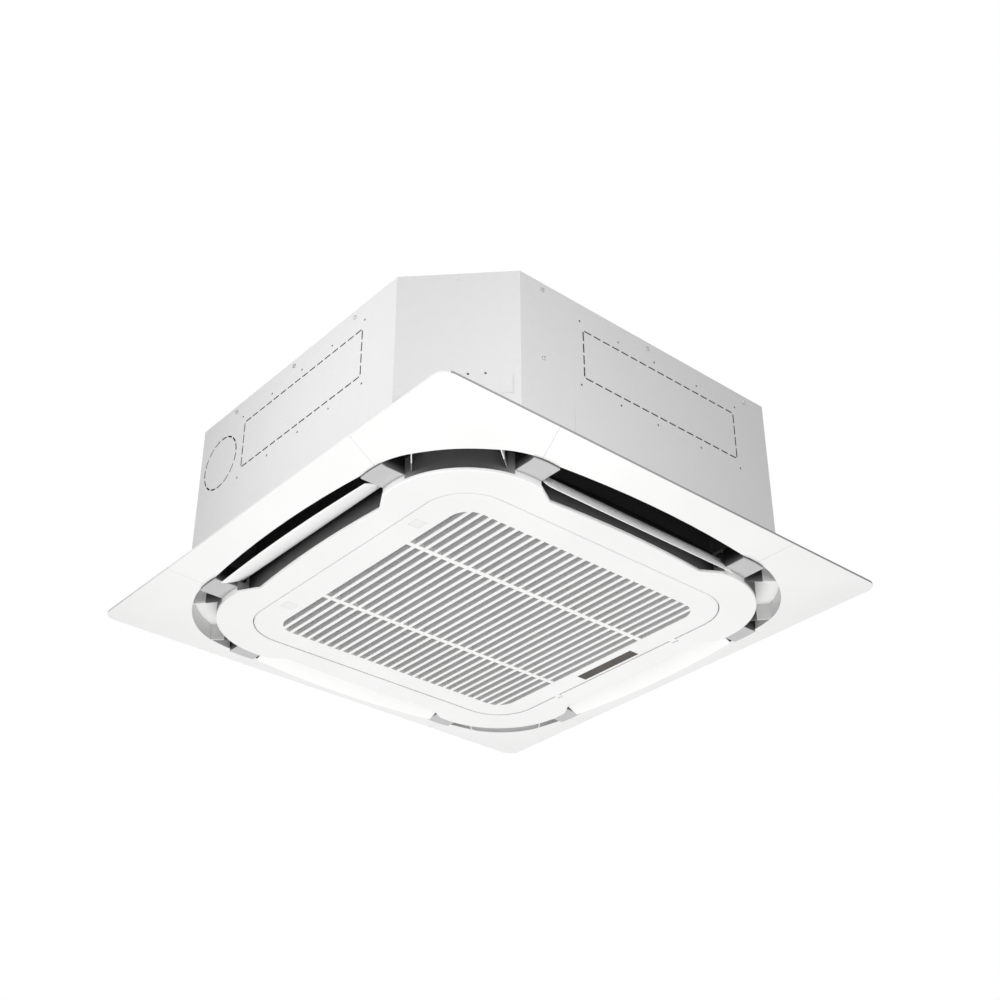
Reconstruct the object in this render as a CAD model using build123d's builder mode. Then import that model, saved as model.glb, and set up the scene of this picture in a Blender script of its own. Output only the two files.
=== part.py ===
from build123d import *
import math
import os

# Ceiling cassette air conditioner, in millimetres, +Z up.
# The origin is the centre of the four hanger holes, at the height of the hanger plates.

os.makedirs("parts", exist_ok=True)

# ---------------------------------------------------------------- sizes
# casing
casing_side = 840.0
casing_half = casing_side / 2
casing_chamfer = 137.0
wall_half = casing_half - casing_chamfer
casing_top = 258.0
casing_bottom = -42.0
sheet = 1.0
fit_gap = 0.2
seam_margin = 40.0
seam_place = wall_half - seam_margin
seam_tab = 18.0
seam_lap = 15.0
bottom_flange = 20.0
top_flange = 20.0
top_rib_halves = (170.0, 230.0, 290.0)
top_rib_width = 10.0
top_rib_height = 1.2
top_rib_corner_r = 40.0
outlet_margin = 220.0
outlet_half = casing_half - outlet_margin

# hanger brackets
hanger_inset_x = 60.0
hanger_inset_y = 160.0
hanger_spacing_x = casing_side - hanger_inset_x
hanger_spacing_y = casing_side - hanger_inset_y
hanger_hole_r = 6.5
bracket_sheet = 2.0
bracket_width = 110.0
bracket_rise = 18.0
hanger_leaf_width = 50.0
hanger_leaf_end = 46.0
panel_tab_width = 40.0
panel_tab_end = 34.0
panel_screw_reach = 20.0

# casing screws, knock-outs and small holes
screw_r = 2.0
screw_head_r = 4.2
screw_head_height = 2.0
screw_length = 9.0
screw_clearance = 0.05
top_screw_drop = 13.0
side_screw_places = (-172.0, 0.0, 177.0)
front_screw_places = (7.0 - seam_place, -1.0, seam_place - 9.0)
seam_screw_rise = 110.0
small_hole_r = 2.0
hole_row_heights = (97.0, 223.0)
left_hole_places = (-200.0, -111.0, -25.0, 64.0, 154.0)
front_hole_places = (-157.0, -71.0, 12.0, 113.0, 208.0)
round_knockout_r = 50.0
round_knockout_margin = 66.0
round_knockout_place = wall_half - round_knockout_margin
round_knockout_rise = 158.0
round_dashes = 15
knockout_bottom = 114.0
knockout_height = 93.0
knockout_spacing = 72.0
left_knockout = (-195.0, round_knockout_place - knockout_spacing)
front_knockout = (-150.0, 202.0)
slit_width = 3.0
slit_bridge = 5.0
slit_dash = 16.0
emboss_left = -174.0
emboss_right = 191.0
emboss_top = 55.0
emboss_bottom = -20.0
emboss_depth = 0.8
chamfer_holes = (16.5, 43.0)
chamfer_hole_rise = 62.0
chamfer_tab = (66.0, 84.0)
chamfer_tab_bottom = 23.0
chamfer_tab_top = 55.0

# insulation and the drain pan's ducts
foam_wall = 20.0
pan_top = 16.0
pan_wall = 23.0
duct_width = 50.0
duct_corner_r = 8.0
pan_duct_outer = casing_half - pan_wall
pan_duct_inner = pan_duct_outer - duct_width
motor_opening_r = 112.0

# coil
coil_margin = 37.0
coil_half = pan_duct_inner - coil_margin
coil_thickness = 38.0
coil_bottom = -8.0
coil_bend_r = 45.0
coil_open_x = 125.0
coil_open_y = 160.0
coil_end_x = coil_half - coil_open_x
coil_end_y = coil_half - coil_open_y
tube_r = 4.75
tube_row_spacing = 22.0
tube_rows = 8
tube_pitch = 28.0
tube_first = 14.0
end_plate = 1.5
end_plate_margin = 3.0
tube_stub = 7.0
tube_clearance = 0.03

# drain pan
trough_inner = coil_half - 27.0
trough_outer = coil_half + 31.0
trough_floor = -18.0
trough_outer_r = 70.0
trough_inner_r = 20.0
sump_inner = coil_half - 105.0
sump_corner_r = 12.0
coil_seat_place = coil_end_y - 30.0
coil_seat_width = 24.0

# refrigerant pipes
gas_pipe_r = 7.94
liquid_pipe_r = 4.76
pipe_turn_y = coil_half - 70.0
gas_bend_r = 20.0
liquid_bend_r = 14.0
gas_height = 210.0
liquid_height = 100.0
pipe_outside = 18.0
pipe_sleeve = 3.0
header_wall = 1.0
gas_union_r = 11.1
gas_union_hex = 27.0
liquid_union_r = 7.9
liquid_union_hex = 19.0
union_thread = 16.0
union_hex = 12.0
pipe_cover_width = 64.0
pipe_cover_margin = 34.0
pipe_cover_lap = 8.0
pipe_cover_clearance = 0.3

# fan and motor
fan_margin = 75.0
fan_r = coil_half - fan_margin
fan_top = 203.0
fan_hub_r = 84.0
fan_hub_floor = 140.0
fan_plate = 3.0
fan_cone_r = 104.0
fan_blades = 7
blade_inner_r = fan_r - 85.0
blade_thickness = 3.0
blade_mid_turn = 12.0
blade_tip_turn = 38.0
shroud_inlet_r = fan_r - 74.0
shroud_bottom = 48.0
shroud_rise = 30.0
shroud_wall = 2.5
shroud_bow = 17.0
shroud_bow_rise = 20.0
shaft_r = 6.0
shaft_clearance = 0.05
shaft_end = 16.0
boss_r = 22.0
boss_bottom = 122.0
shaft_bottom = 106.0
nut_height = 9.0
nut_across = 19.0
motor_r = 70.0
motor_bottom = 160.0
motor_top = 244.0
motor_edge_r = 6.0
motor_nose_r = 18.0
motor_nose = 8.0
motor_ribs = 24
motor_rib_width = 3.0
motor_rib_depth = 5.0
motor_rib_margin = 14.0
motor_flange_r = 100.0
motor_flange_height = 226.0
motor_flange_plate = 3.0
motor_plate = 2.0
motor_plate_gap = 4.0
stud_circle_r = 88.0
stud_r = 4.0
stud_tip = 3.0
damper_r = 9.0
damper_plate = 5.0
damper_height = 10.0
motor_nut_height = 5.0
motor_nut_across = 13.0

# bell mouth
mouth_throat_r = shroud_inlet_r - 5.0
mouth_flare_r = mouth_throat_r + 80.0
mouth_top = 60.0
mouth_flare_top = 4.0
mouth_wall = 2.0
mouth_plate_half = trough_inner - 4.0
mouth_plate_r = 20.0
pan_mouth_r = mouth_flare_r + 14.0

# pump, float and drain
pump_x = coil_half - 65.0
pump_y = coil_half - 75.0
pump_r = 30.0
pump_edge = 2.0
pump_top = 112.0
pump_middle = 58.0
pump_chamber_r = 26.0
pump_chamber_floor = 22.0
pump_inlet_r = 14.0
pump_inlet_bottom = -12.0
pump_wall = 2.0
impeller_r = 21.0
impeller_hub_r = 5.0
impeller_gap = 5.0
impeller_plate = 2.0
impeller_shaft_r = 2.5
impeller_shaft_length = 12.0
impeller_blades = 4
stand_left = pump_x - 33.0
stand_right = pump_x + 32.0
stand_front = pump_y - 27.5
stand_back = pump_y + 67.0
stand_leg = 8.0
stand_plate = 2.0
float_x = pump_x - 13.0
float_y = pump_y + 47.0
float_r = 12.0
float_height = 18.0
float_edge_r = 2.5
float_rest = 2.0
float_stem_r = 3.0
float_stop_r = 5.5
float_stop = 3.0
float_clearance = 0.1
float_travel = 10.0
drain_height = 170.0
drain_hose_r = 9.0
drain_rise_x = pump_x + 43.0
drain_outlet_r = 16.0
drain_outlet_wall = 2.5
drain_outlet_length = 35.0
drain_flange = 6.0
drain_flange_thickness = 2.0
drain_stop = 3.0

# control box
control_inner = mouth_throat_r + 40.0
control_width = 70.0
control_length = 240.0
control_height = 20.0
board_thickness = 1.6
board_drop = 7.0
board_y = -34.0
board_width = 60.0
board_length = 162.0
standoff_r = 3.0
relay_spots = ((15.0, -56.0, 18.0, 24.0, 8.0), (-14.0, -26.0, 22.0, 14.0, 5.0))
capacitor_r = 6.0
capacitor_height = 9.0
capacitor_y = 14.0
terminal_y = 84.0
terminal_width = 50.0
terminal_length = 34.0
terminal_height = 9.0
terminal_screw_r = 2.5
terminal_pitch = 9.0
terminal_rows = 20.0
grommet_y = 140.0
grommet_z = 215.0
grommet_r = 14.0
grommet_bore_r = 10.0
grommet_flange = 3.0
grommet_depth = 4.0

# panel frame
panel_overhang = 55.0
panel_side = casing_side + 2 * panel_overhang
panel_half = panel_side / 2
rim_z = -57.0
rim_thickness = 4.0
rim_corner_r = 22.0
panel_drop = 24.0
drop_half = panel_half - 100.0
drop_corner_r = 100.0
skin = 3.0
cover_plate = 2.5
cover_gap = 0.3
cover_seam_gap = 0.4
seam_outer = outlet_half + 57.0
seam_inner = outlet_half + 38.5
lip_overhang = 2.5
lip_mid = casing_half + lip_overhang
lip_half = outlet_half + 5.0
lip_centre = outlet_half + 21.7
lip_r = 192.0
channel_wall = 2.5
channel_top = -45.0
boss_foot_r = 8.0
boss_head_z = -64.0
boss_hole_depth = 30.0
boss_screw_grip = 6.0
clip_margin = 35.0
clip_place = outlet_half + 100.0
clip_r = 3.0
clip_top = -50.0
seal_width = 16.0

# inner panel and air guide
inner_face = -89.0
inner_plate = 5.0
inner_edge_r = 2.0
slot_width = 65.5
inner_bow = 7.0
inner_mid = lip_mid - slot_width
inner_end = inner_mid - inner_bow
inner_half = outlet_half - 35.0
corner_centre = outlet_half + 20.7
corner_r = 151.7
guide_wall = 2.0
web_width = 8.0
intake_half = inner_end - 80.0
intake_corner_r = 60.0
intake_flange = 2.0
intake_flange_top = -67.0
intake_wall = 2.5
divider_near = outlet_half + 2.0
divider_far = divider_near + 50.0
divider_bottom = -77.0
divider_plate = 4.0
divider_wall = 2.0
rib_thickness = 1.6
rib_length = 70.0
rib_x = lip_mid - 46.5
rib_y = outlet_half + 77.5
rib_turn = 51.5

# louvres
louvre_mid_chord = 57.0
louvre_end_chord = 47.5
louvre_pivot = inner_mid + 5.0
louvre_height = -58.0
louvre_nose_r = 2.4
louvre_camber = 2.2
louvre_belly = 1.1
louvre_edge = 0.6
louvre_tilts = (27.0, 27.0, 28.0, 51.0)
louvre_pin_r = 2.5
louvre_pin_root = 4.0
louvre_pin_grip = 8.0
pin_clearance = 0.05
bush_r = 4.5
bush_length = 5.0
bush_rim = 0.2
louvre_motor_r = 12.5
louvre_motor_length = 18.0
louvre_motor_gap = 2.0

# intake grille
grille_half = inner_end - 44.0
grille_corner_r = 80.0
grille_height = 12.0
grille_skin = 3.0
grille_edge_r = 2.5
grille_gap = 1.4
slat_pitch = 18.04
slat_gap = 11.5
slat_length = 2 * (grille_half - 47.0)
slat_gaps = round(slat_length / slat_pitch)
slat_centre = (3.5, 2.0)
slat_corner_r = 36.0
crossbar_place = 114.0
crossbar_width = 9.0
hinge_reach = 6.0
hinge_x = grille_half + hinge_reach
hinge_place = 150.0
hinge_pin_r = 2.0
hinge_ear_r = 3.5
hinge_ear_width = 12.0
hinge_ear_root = 8.0
hinge_gap = 0.5
hinge_wall = 3.0
hinge_roof = 1.0
window_x = grille_half - 17.5
window_y = -4.0
window_width = 21.0
window_length = 138.0
window_corner_r = 2.0
window_ledge = 1.0
receiver_parts = 4
receiver_pitch = 30.0
latch_x = 26.0 - grille_half
latch_places = (180.0, -170.0)
latch_side = 20.0
latch_corner_r = 1.5
latch_gap = 0.3
latch_height = 8.0
latch_flange = 1.5
latch_lip = 1.2
latch_play = 0.05
latch_wall = 2.0
latch_bridge = -75.0
spring_wire_r = 0.35
spring_r = 4.0
spring_turns = 4
filter_margin = 6.0
filter_border = 8.0
filter_height = 4.0
filter_net = 0.6
filter_net_lap = 2.0
filter_bar = 4.0

# sizes that follow from several groups
chamfer_distance = (casing_side - casing_chamfer) / math.sqrt(2)
sheet_top = casing_top - sheet
liner_offset = 2 * sheet + fit_gap
liner_ceiling = sheet_top - foam_wall
pan_bottom = casing_bottom + sheet
ceiling_z = rim_z + rim_thickness
inner_top = inner_face + inner_plate
hinge_z = inner_face + hinge_ear_r
opening_half = grille_half + grille_gap
opening_corner = grille_corner_r + grille_gap
hanger_radial = (hanger_spacing_x + hanger_spacing_y) / 2 / math.sqrt(2)
hanger_side = (hanger_spacing_x - hanger_spacing_y) / 2 / math.sqrt(2)
corner_axis = Vector(1, 1, 0).normalized()
corner_side = Vector(1, -1, 0).normalized()
LOW = (Align.CENTER, Align.CENTER, Align.MIN)
HIGH = (Align.CENTER, Align.CENTER, Align.MAX)


def save(part, name):
    """Label a finished piece and write it to its own file."""
    part.label = name
    export_step(part, "parts/" + name + ".step")


def turned(x, y, quarter):
    """The point x, y turned about the origin by a number of quarter turns."""
    for _ in range(quarter):
        x, y = -y, x
    return (x, y)


def octagon(z, inset):
    """The casing's outline at height z, a square with cut corners, set in by inset."""
    half = casing_half - inset
    flat = math.sqrt(2) * (chamfer_distance - inset) - half
    with BuildSketch(Plane.XY.offset(z)) as outline:
        with BuildLine():
            corners = []
            for quarter in range(4):
                corners.append(turned(half, -flat, quarter))
                corners.append(turned(half, flat, quarter))
            Polyline(corners, close=True)
        make_face()
    return outline.sketch


def rounded_square(z, half, radius, centre=(0, 0)):
    """A square with round corners at height z."""
    with BuildSketch(Plane.XY.offset(z)) as outline:
        with Locations(centre):
            RectangleRounded(2 * half, 2 * half, radius)
    return outline.sketch


def disc(z, radius, centre=(0, 0)):
    """A round outline at height z."""
    with BuildSketch(Plane.XY.offset(z)) as outline:
        with Locations(centre):
            Circle(radius)
    return outline.sketch


def bowed_square(z, mid, end, half, centre, radius, start):
    """An outline with four slightly bowed sides and four round corners."""
    reach = centre + math.sqrt(radius ** 2 - (start - centre) ** 2)
    knee = centre + radius / math.sqrt(2)
    side_end = reach if end is None else end
    with BuildSketch(Plane.XY.offset(z)) as outline:
        with BuildLine():
            for quarter in range(4):
                ThreePointArc(
                    turned(side_end, -half, quarter),
                    turned(mid, 0, quarter),
                    turned(side_end, half, quarter),
                )
                if end is not None:
                    Line(turned(side_end, half, quarter), turned(reach, start, quarter))
                ThreePointArc(
                    turned(reach, start, quarter),
                    turned(knee, knee, quarter),
                    turned(start, reach, quarter),
                )
                if end is not None:
                    Line(turned(start, reach, quarter), turned(half, side_end, quarter))
        make_face()
    return outline.sketch


def lip_outline(z, grow=0.0):
    """The outer edge of the air outlets, grown outwards by grow."""
    return bowed_square(z, lip_mid + grow, None, lip_half, lip_centre, lip_r + grow, lip_half)


def inner_outline(z, grow=0.0):
    """The outer edge of the inner panel, with its small slanted steps."""
    return bowed_square(
        z, inner_mid + grow, inner_end + grow, inner_half, corner_centre, corner_r + grow, outlet_half
    )


def guide_outline(z, grow=0.0):
    """The face of the air guide: as the inner panel, but straight on to the slot's end."""
    step = outlet_half + 1 - grow
    return bowed_square(
        z, inner_mid + grow, inner_end + grow, step, corner_centre, corner_r + grow, step
    )


def at_corner(radial, side, z):
    """A point near the +X +Y corner, by its distance from the axis and along the chamfer."""
    return Vector(0, 0, z) + corner_axis * radial + corner_side * side


def corner_plane(radial, side, z):
    """A plane on the +X +Y chamfer: x along the chamfer, z outwards."""
    return Plane(origin=at_corner(radial, side, z), x_dir=corner_side * -1, z_dir=corner_axis)


left_wall = Plane(origin=(-casing_half, 0, 0), x_dir=(0, -1, 0), z_dir=(-1, 0, 0))
right_wall = Plane(origin=(casing_half, 0, 0), x_dir=(0, 1, 0), z_dir=(1, 0, 0))
front_wall = Plane(origin=(0, -casing_half, 0), x_dir=(1, 0, 0), z_dir=(0, -1, 0))
back_wall = Plane(origin=(0, casing_half, 0), x_dir=(-1, 0, 0), z_dir=(0, 1, 0))
chamfer_middle = -casing_half + casing_chamfer / 2
near_chamfer = Plane(
    origin=(chamfer_middle, chamfer_middle, 0), x_dir=(1, -1, 0), z_dir=(-1, -1, 0)
)


def on_wall(wall, across, up):
    """A plane that lies on a wall, at a place along it and a height."""
    return Plane(origin=wall.from_local_coords((across, up, 0)), x_dir=wall.x_dir, z_dir=wall.z_dir)


screw_planes = []
for place in side_screw_places:
    screw_planes.append(on_wall(left_wall, -place, casing_top - top_screw_drop))
    screw_planes.append(on_wall(right_wall, place, casing_top - top_screw_drop))
for place in front_screw_places:
    screw_planes.append(on_wall(front_wall, place, casing_top - top_screw_drop))
    screw_planes.append(on_wall(back_wall, -place, casing_top - top_screw_drop))
seam_screw_x = seam_place - (seam_tab - screw_head_r) / 2
seam_screw_planes = [
    on_wall(front_wall, -seam_screw_x, seam_screw_rise),
    on_wall(back_wall, -seam_screw_x, seam_screw_rise),
]


# ---------------------------------------------------------------- casing
def casing_half_sheet():
    """One of the two like bent sheets, on the -X side, with its tab behind the other."""
    with BuildPart() as wrap:
        extrude(octagon(casing_bottom, 0), amount=sheet_top - casing_bottom)
        extrude(
            octagon(casing_bottom, sheet), amount=sheet_top - casing_bottom, mode=Mode.SUBTRACT
        )
        extrude(octagon(casing_bottom, sheet / 2), amount=sheet)
        extrude(octagon(casing_bottom, bottom_flange), amount=sheet, mode=Mode.SUBTRACT)
        with BuildSketch(Plane.XY.offset(casing_bottom)) as other_half:
            with BuildLine():
                Polyline(
                    [
                        (-seam_place, -casing_side),
                        (-seam_place, 0),
                        (seam_place, 0),
                        (seam_place, casing_side),
                        (casing_side, casing_side),
                        (casing_side, -casing_side),
                    ],
                    close=True,
                )
            make_face()
        extrude(other_half.sketch, amount=casing_top - casing_bottom, mode=Mode.SUBTRACT)
        tab_bottom = casing_bottom + sheet
        tab_top = sheet_top - top_flange - 1
        with BuildSketch(Plane.XY.offset(tab_bottom)) as tab:
            with Locations((-seam_place + (seam_tab - seam_lap) / 2, -casing_half + 1.5 * sheet)):
                Rectangle(seam_tab + seam_lap, sheet)
        extrude(tab.sketch, amount=tab_top - tab_bottom)
        with Locations(*seam_screw_planes):
            Cylinder(screw_r + screw_clearance, 6 * sheet, mode=Mode.SUBTRACT)
    return wrap.part


def rectangle_slits(wall, start, end):
    """Broken slits round a rectangular knock-out in a wall."""
    width = end - start
    columns = round(width / (slit_dash + slit_bridge))
    rows = round(knockout_height / (slit_dash + slit_bridge))
    middle = ((start + end) / 2, knockout_bottom + knockout_height / 2)
    with BuildSketch(wall) as slits:
        with Locations(middle):
            with GridLocations(width / columns, knockout_height, columns, 2):
                Rectangle(width / columns - slit_bridge, slit_width)
            with GridLocations(width, knockout_height / rows, 2, rows):
                Rectangle(slit_width, knockout_height / rows - slit_bridge)
    return slits.sketch


def round_slits(wall, across, up):
    """Broken slits round a round knock-out in a wall."""
    with BuildSketch(wall) as slits:
        with Locations((across, up)):
            Circle(round_knockout_r + slit_width / 2)
            Circle(round_knockout_r - slit_width / 2, mode=Mode.SUBTRACT)
            with PolarLocations(round_knockout_r, round_dashes):
                Rectangle(2 * slit_width, slit_bridge, mode=Mode.SUBTRACT)
    return slits.sketch


casing_sheet = casing_half_sheet()

with BuildPart() as casing_wrap_left:
    add(casing_sheet)
    with Locations(*screw_planes):
        Cylinder(screw_r + screw_clearance, 6 * sheet, mode=Mode.SUBTRACT)
    extrude(rectangle_slits(left_wall, -left_knockout[1], -left_knockout[0]), amount=2 * sheet,
            both=True, mode=Mode.SUBTRACT)
    extrude(round_slits(left_wall, -round_knockout_place, round_knockout_rise), amount=2 * sheet,
            both=True, mode=Mode.SUBTRACT)
    for height in hole_row_heights:
        for place in left_hole_places:
            with Locations(on_wall(left_wall, -place, height)):
                Cylinder(small_hole_r, 6 * sheet, mode=Mode.SUBTRACT)
    for place in chamfer_holes:
        with Locations(on_wall(near_chamfer, place, chamfer_hole_rise)):
            Cylinder(small_hole_r, 6 * sheet, mode=Mode.SUBTRACT)
    with Locations(on_wall(near_chamfer, 0, casing_top - top_screw_drop)):
        Cylinder(small_hole_r, 6 * sheet, mode=Mode.SUBTRACT)
    tab_place = (chamfer_tab[0] + chamfer_tab[1]) / 2
    tab_height = (chamfer_tab_bottom + chamfer_tab_top) / 2
    with Locations(on_wall(near_chamfer, tab_place, tab_height)):
        Box(chamfer_tab[1] - chamfer_tab[0], chamfer_tab_top - chamfer_tab_bottom, 2 * sheet)
save(casing_wrap_left.part, "casing_wrap_left")

pipe_side = (coil_half - pipe_turn_y) / math.sqrt(2)
pipe_cover_middle = (gas_height + liquid_height) / 2
pipe_cover_height = gas_height - liquid_height + 2 * pipe_cover_margin

with BuildPart() as casing_wrap_right:
    add(casing_sheet.rotate(Axis.Z, 180))
    with Locations(*screw_planes):
        Cylinder(screw_r + screw_clearance, 6 * sheet, mode=Mode.SUBTRACT)
    with Locations(on_wall(front_wall, (emboss_left + emboss_right) / 2,
                           (emboss_top + emboss_bottom) / 2)):
        Box(emboss_right - emboss_left, emboss_top - emboss_bottom, 2 * emboss_depth)
    extrude(rectangle_slits(front_wall, *front_knockout), amount=2 * sheet, both=True,
            mode=Mode.SUBTRACT)
    for height in hole_row_heights:
        for place in front_hole_places:
            with Locations(on_wall(front_wall, place, height)):
                Cylinder(small_hole_r, 6 * sheet, mode=Mode.SUBTRACT)
    with Locations(on_wall(right_wall, pump_y, drain_height)):
        Cylinder(drain_outlet_r + fit_gap, 6 * sheet, mode=Mode.SUBTRACT)
    with Locations(on_wall(right_wall, grommet_y, grommet_z)):
        Cylinder(grommet_r + fit_gap, 6 * sheet, mode=Mode.SUBTRACT)
    with Locations(corner_plane(chamfer_distance, pipe_side, pipe_cover_middle)):
        Box(pipe_cover_width - 2 * pipe_cover_lap, pipe_cover_height - 2 * pipe_cover_lap, 6 * sheet,
            mode=Mode.SUBTRACT)
save(casing_wrap_right.part, "casing_wrap_right")

with BuildPart() as top_plate:
    extrude(octagon(sheet_top, 0), amount=sheet)
    extrude(octagon(sheet_top - top_flange, sheet), amount=top_flange)
    extrude(octagon(sheet_top - top_flange, 2 * sheet), amount=top_flange, mode=Mode.SUBTRACT)
    for rib_half in top_rib_halves:
        outer_half = rib_half + top_rib_width / 2
        inner_half_side = rib_half - top_rib_width / 2
        extrude(rounded_square(casing_top, outer_half, top_rib_corner_r), amount=top_rib_height)
        extrude(rounded_square(casing_top, inner_half_side, top_rib_corner_r - top_rib_width),
                amount=top_rib_height, mode=Mode.SUBTRACT)
    with Locations(*screw_planes):
        Cylinder(screw_r + screw_clearance, 6 * sheet, mode=Mode.SUBTRACT)
save(top_plate.part, "top_plate")

with BuildPart() as casing_screws:
    with Locations(*screw_planes, *seam_screw_planes):
        Cylinder(screw_head_r, screw_head_height, align=LOW)
    with Locations(*screw_planes, *seam_screw_planes):
        Cylinder(screw_r, screw_length - screw_head_height, align=HIGH)
save(casing_screws.part, "casing_screws")

with BuildPart() as hanger_brackets:
    leaf_bottom = casing_bottom
    with Locations(corner_plane(chamfer_distance, 0, (leaf_bottom + bracket_rise) / 2)):
        Box(bracket_width, bracket_rise - leaf_bottom, bracket_sheet, align=LOW)
    hanger_plate = Plane(
        origin=at_corner(chamfer_distance, hanger_side, 0), x_dir=corner_side * -1, z_dir=(0, 0, 1)
    )
    with BuildSketch(hanger_plate) as hanger_leaf:
        with Locations((0, -hanger_leaf_end / 2)):
            Rectangle(hanger_leaf_width, hanger_leaf_end)
    extrude(hanger_leaf.sketch, amount=bracket_sheet)
    panel_tab = Plane(
        origin=at_corner(chamfer_distance, 0, casing_bottom), x_dir=corner_side * -1, z_dir=(0, 0, 1)
    )
    with BuildSketch(panel_tab) as tab_outline:
        with Locations((0, -panel_tab_end / 2)):
            Rectangle(panel_tab_width, panel_tab_end)
    extrude(tab_outline.sketch, amount=bracket_sheet)
    with Locations(at_corner(hanger_radial, hanger_side, 0)):
        Cylinder(hanger_hole_r, 8 * bracket_sheet, mode=Mode.SUBTRACT)
    with Locations(at_corner(chamfer_distance + panel_screw_reach, 0, casing_bottom)):
        Cylinder(screw_r + screw_clearance, 8 * bracket_sheet, mode=Mode.SUBTRACT)
    mirror(about=Plane.YZ)
    mirror(about=Plane.XZ)
save(hanger_brackets.part, "hanger_brackets")


# ---------------------------------------------------------------- insulation, pan, bell mouth
def sump_outline(z):
    """The corner of the drain pan, outside the coil's open corner."""
    side = trough_outer - sump_inner
    with BuildSketch(Plane.XY.offset(z)) as outline:
        with Locations(((sump_inner + trough_outer) / 2, (sump_inner + trough_outer) / 2)):
            RectangleRounded(side, side, sump_corner_r)
    return outline.sketch


def pipe_line(height):
    """Where a refrigerant pipe leaves through the corner: its turn and its direction."""
    return Plane(origin=(coil_half, pipe_turn_y, height), z_dir=corner_axis)


pipe_run = 2 * (chamfer_distance - (coil_half + pipe_turn_y) / math.sqrt(2))
joint_x = casing_half - liner_offset
joint_y = math.sqrt(2) * (chamfer_distance - liner_offset) - joint_x

with BuildPart() as insulation_liner:
    extrude(octagon(pan_top, liner_offset), amount=sheet_top - pan_top)
    extrude(octagon(pan_top, liner_offset + foam_wall), amount=liner_ceiling - pan_top,
            mode=Mode.SUBTRACT)
    extrude(disc(liner_ceiling, motor_opening_r), amount=foam_wall, mode=Mode.SUBTRACT)
    with Locations(*screw_planes, *seam_screw_planes):
        Cylinder(screw_r + 1, 2 * screw_length, mode=Mode.SUBTRACT)
    for height, radius in ((gas_height, gas_pipe_r), (liquid_height, liquid_pipe_r)):
        with Locations(pipe_line(height)):
            Cylinder(radius + pipe_sleeve, pipe_run, align=LOW, mode=Mode.SUBTRACT)
    with Locations(on_wall(right_wall, pump_y, drain_height)):
        Cylinder(drain_outlet_r + 1, 3 * foam_wall, mode=Mode.SUBTRACT)
    with Locations(on_wall(right_wall, grommet_y, grommet_z)):
        Cylinder(grommet_r + 1, 3 * foam_wall, mode=Mode.SUBTRACT)
    # joints between the top board and the eight wall boards
    extrude(octagon(liner_ceiling - fit_gap, 0), amount=fit_gap, mode=Mode.SUBTRACT)
    for quarter in range(4):
        for side in (-1, 1):
            x, y = turned(joint_x, side * joint_y, quarter)
            with Locations(Location((x, y, pan_top), (0, 0, side * 22.5 + 90 * quarter))):
                Box(3 * foam_wall, fit_gap, 2 * (liner_ceiling - pan_top), mode=Mode.SUBTRACT)
    # strips below the wall boards, which close the air ducts on the outside
    with BuildSketch(Plane.XY.offset(pan_bottom)) as strips:
        add(octagon(pan_bottom, liner_offset))
        Rectangle(2 * (pan_duct_outer + fit_gap), 2 * (pan_duct_outer + fit_gap), mode=Mode.SUBTRACT)
    extrude(strips.sketch, amount=pan_top - fit_gap - pan_bottom)
save(insulation_liner.part, "insulation_liner")

trough_width = trough_outer - trough_inner
seat_spots = ((-coil_half, -coil_seat_place), (-coil_half, coil_seat_place),
              (coil_half, -coil_seat_place), (coil_half, coil_seat_place))
with BuildPart() as drain_pan:
    with BuildSketch(Plane.XY.offset(pan_bottom)) as pan_outline:
        add(octagon(pan_bottom, liner_offset))
        Rectangle(2 * pan_duct_outer, 2 * pan_duct_outer, mode=Mode.INTERSECT)
    extrude(pan_outline.sketch, amount=pan_top - pan_bottom)
    extrude(disc(pan_bottom, pan_mouth_r), amount=pan_top - pan_bottom, mode=Mode.SUBTRACT)
    with BuildSketch(Plane.XY.offset(pan_bottom)) as ducts:
        with PolarLocations((pan_duct_inner + pan_duct_outer) / 2 + duct_corner_r, 4):
            RectangleRounded(duct_width + 2 * duct_corner_r, 2 * outlet_half, duct_corner_r)
    extrude(ducts.sketch, amount=pan_top - pan_bottom, mode=Mode.SUBTRACT)
    extrude(sump_outline(trough_floor), amount=pan_top - trough_floor, mode=Mode.SUBTRACT)
    with BuildSketch(Plane.XY.offset(trough_floor)) as trough:
        RectangleRounded(2 * trough_outer, 2 * trough_outer, trough_outer_r)
        RectangleRounded(2 * trough_inner, 2 * trough_inner, trough_inner_r, mode=Mode.SUBTRACT)
    extrude(trough.sketch, amount=pan_top - trough_floor, mode=Mode.SUBTRACT)
    with BuildSketch(Plane.XY.offset(trough_floor)) as coil_seats:
        for along, place in seat_spots:
            with Locations((along, place)):
                Rectangle(trough_width, coil_seat_width)
            with Locations((place, along)):
                Rectangle(coil_seat_width, trough_width)
    extrude(coil_seats.sketch, amount=coil_bottom - trough_floor)
save(drain_pan.part, "drain_pan")

plate_z = pan_bottom - mouth_wall
mouth_spread = mouth_flare_r - mouth_throat_r
mouth_drop = mouth_flare_top - plate_z

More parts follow.
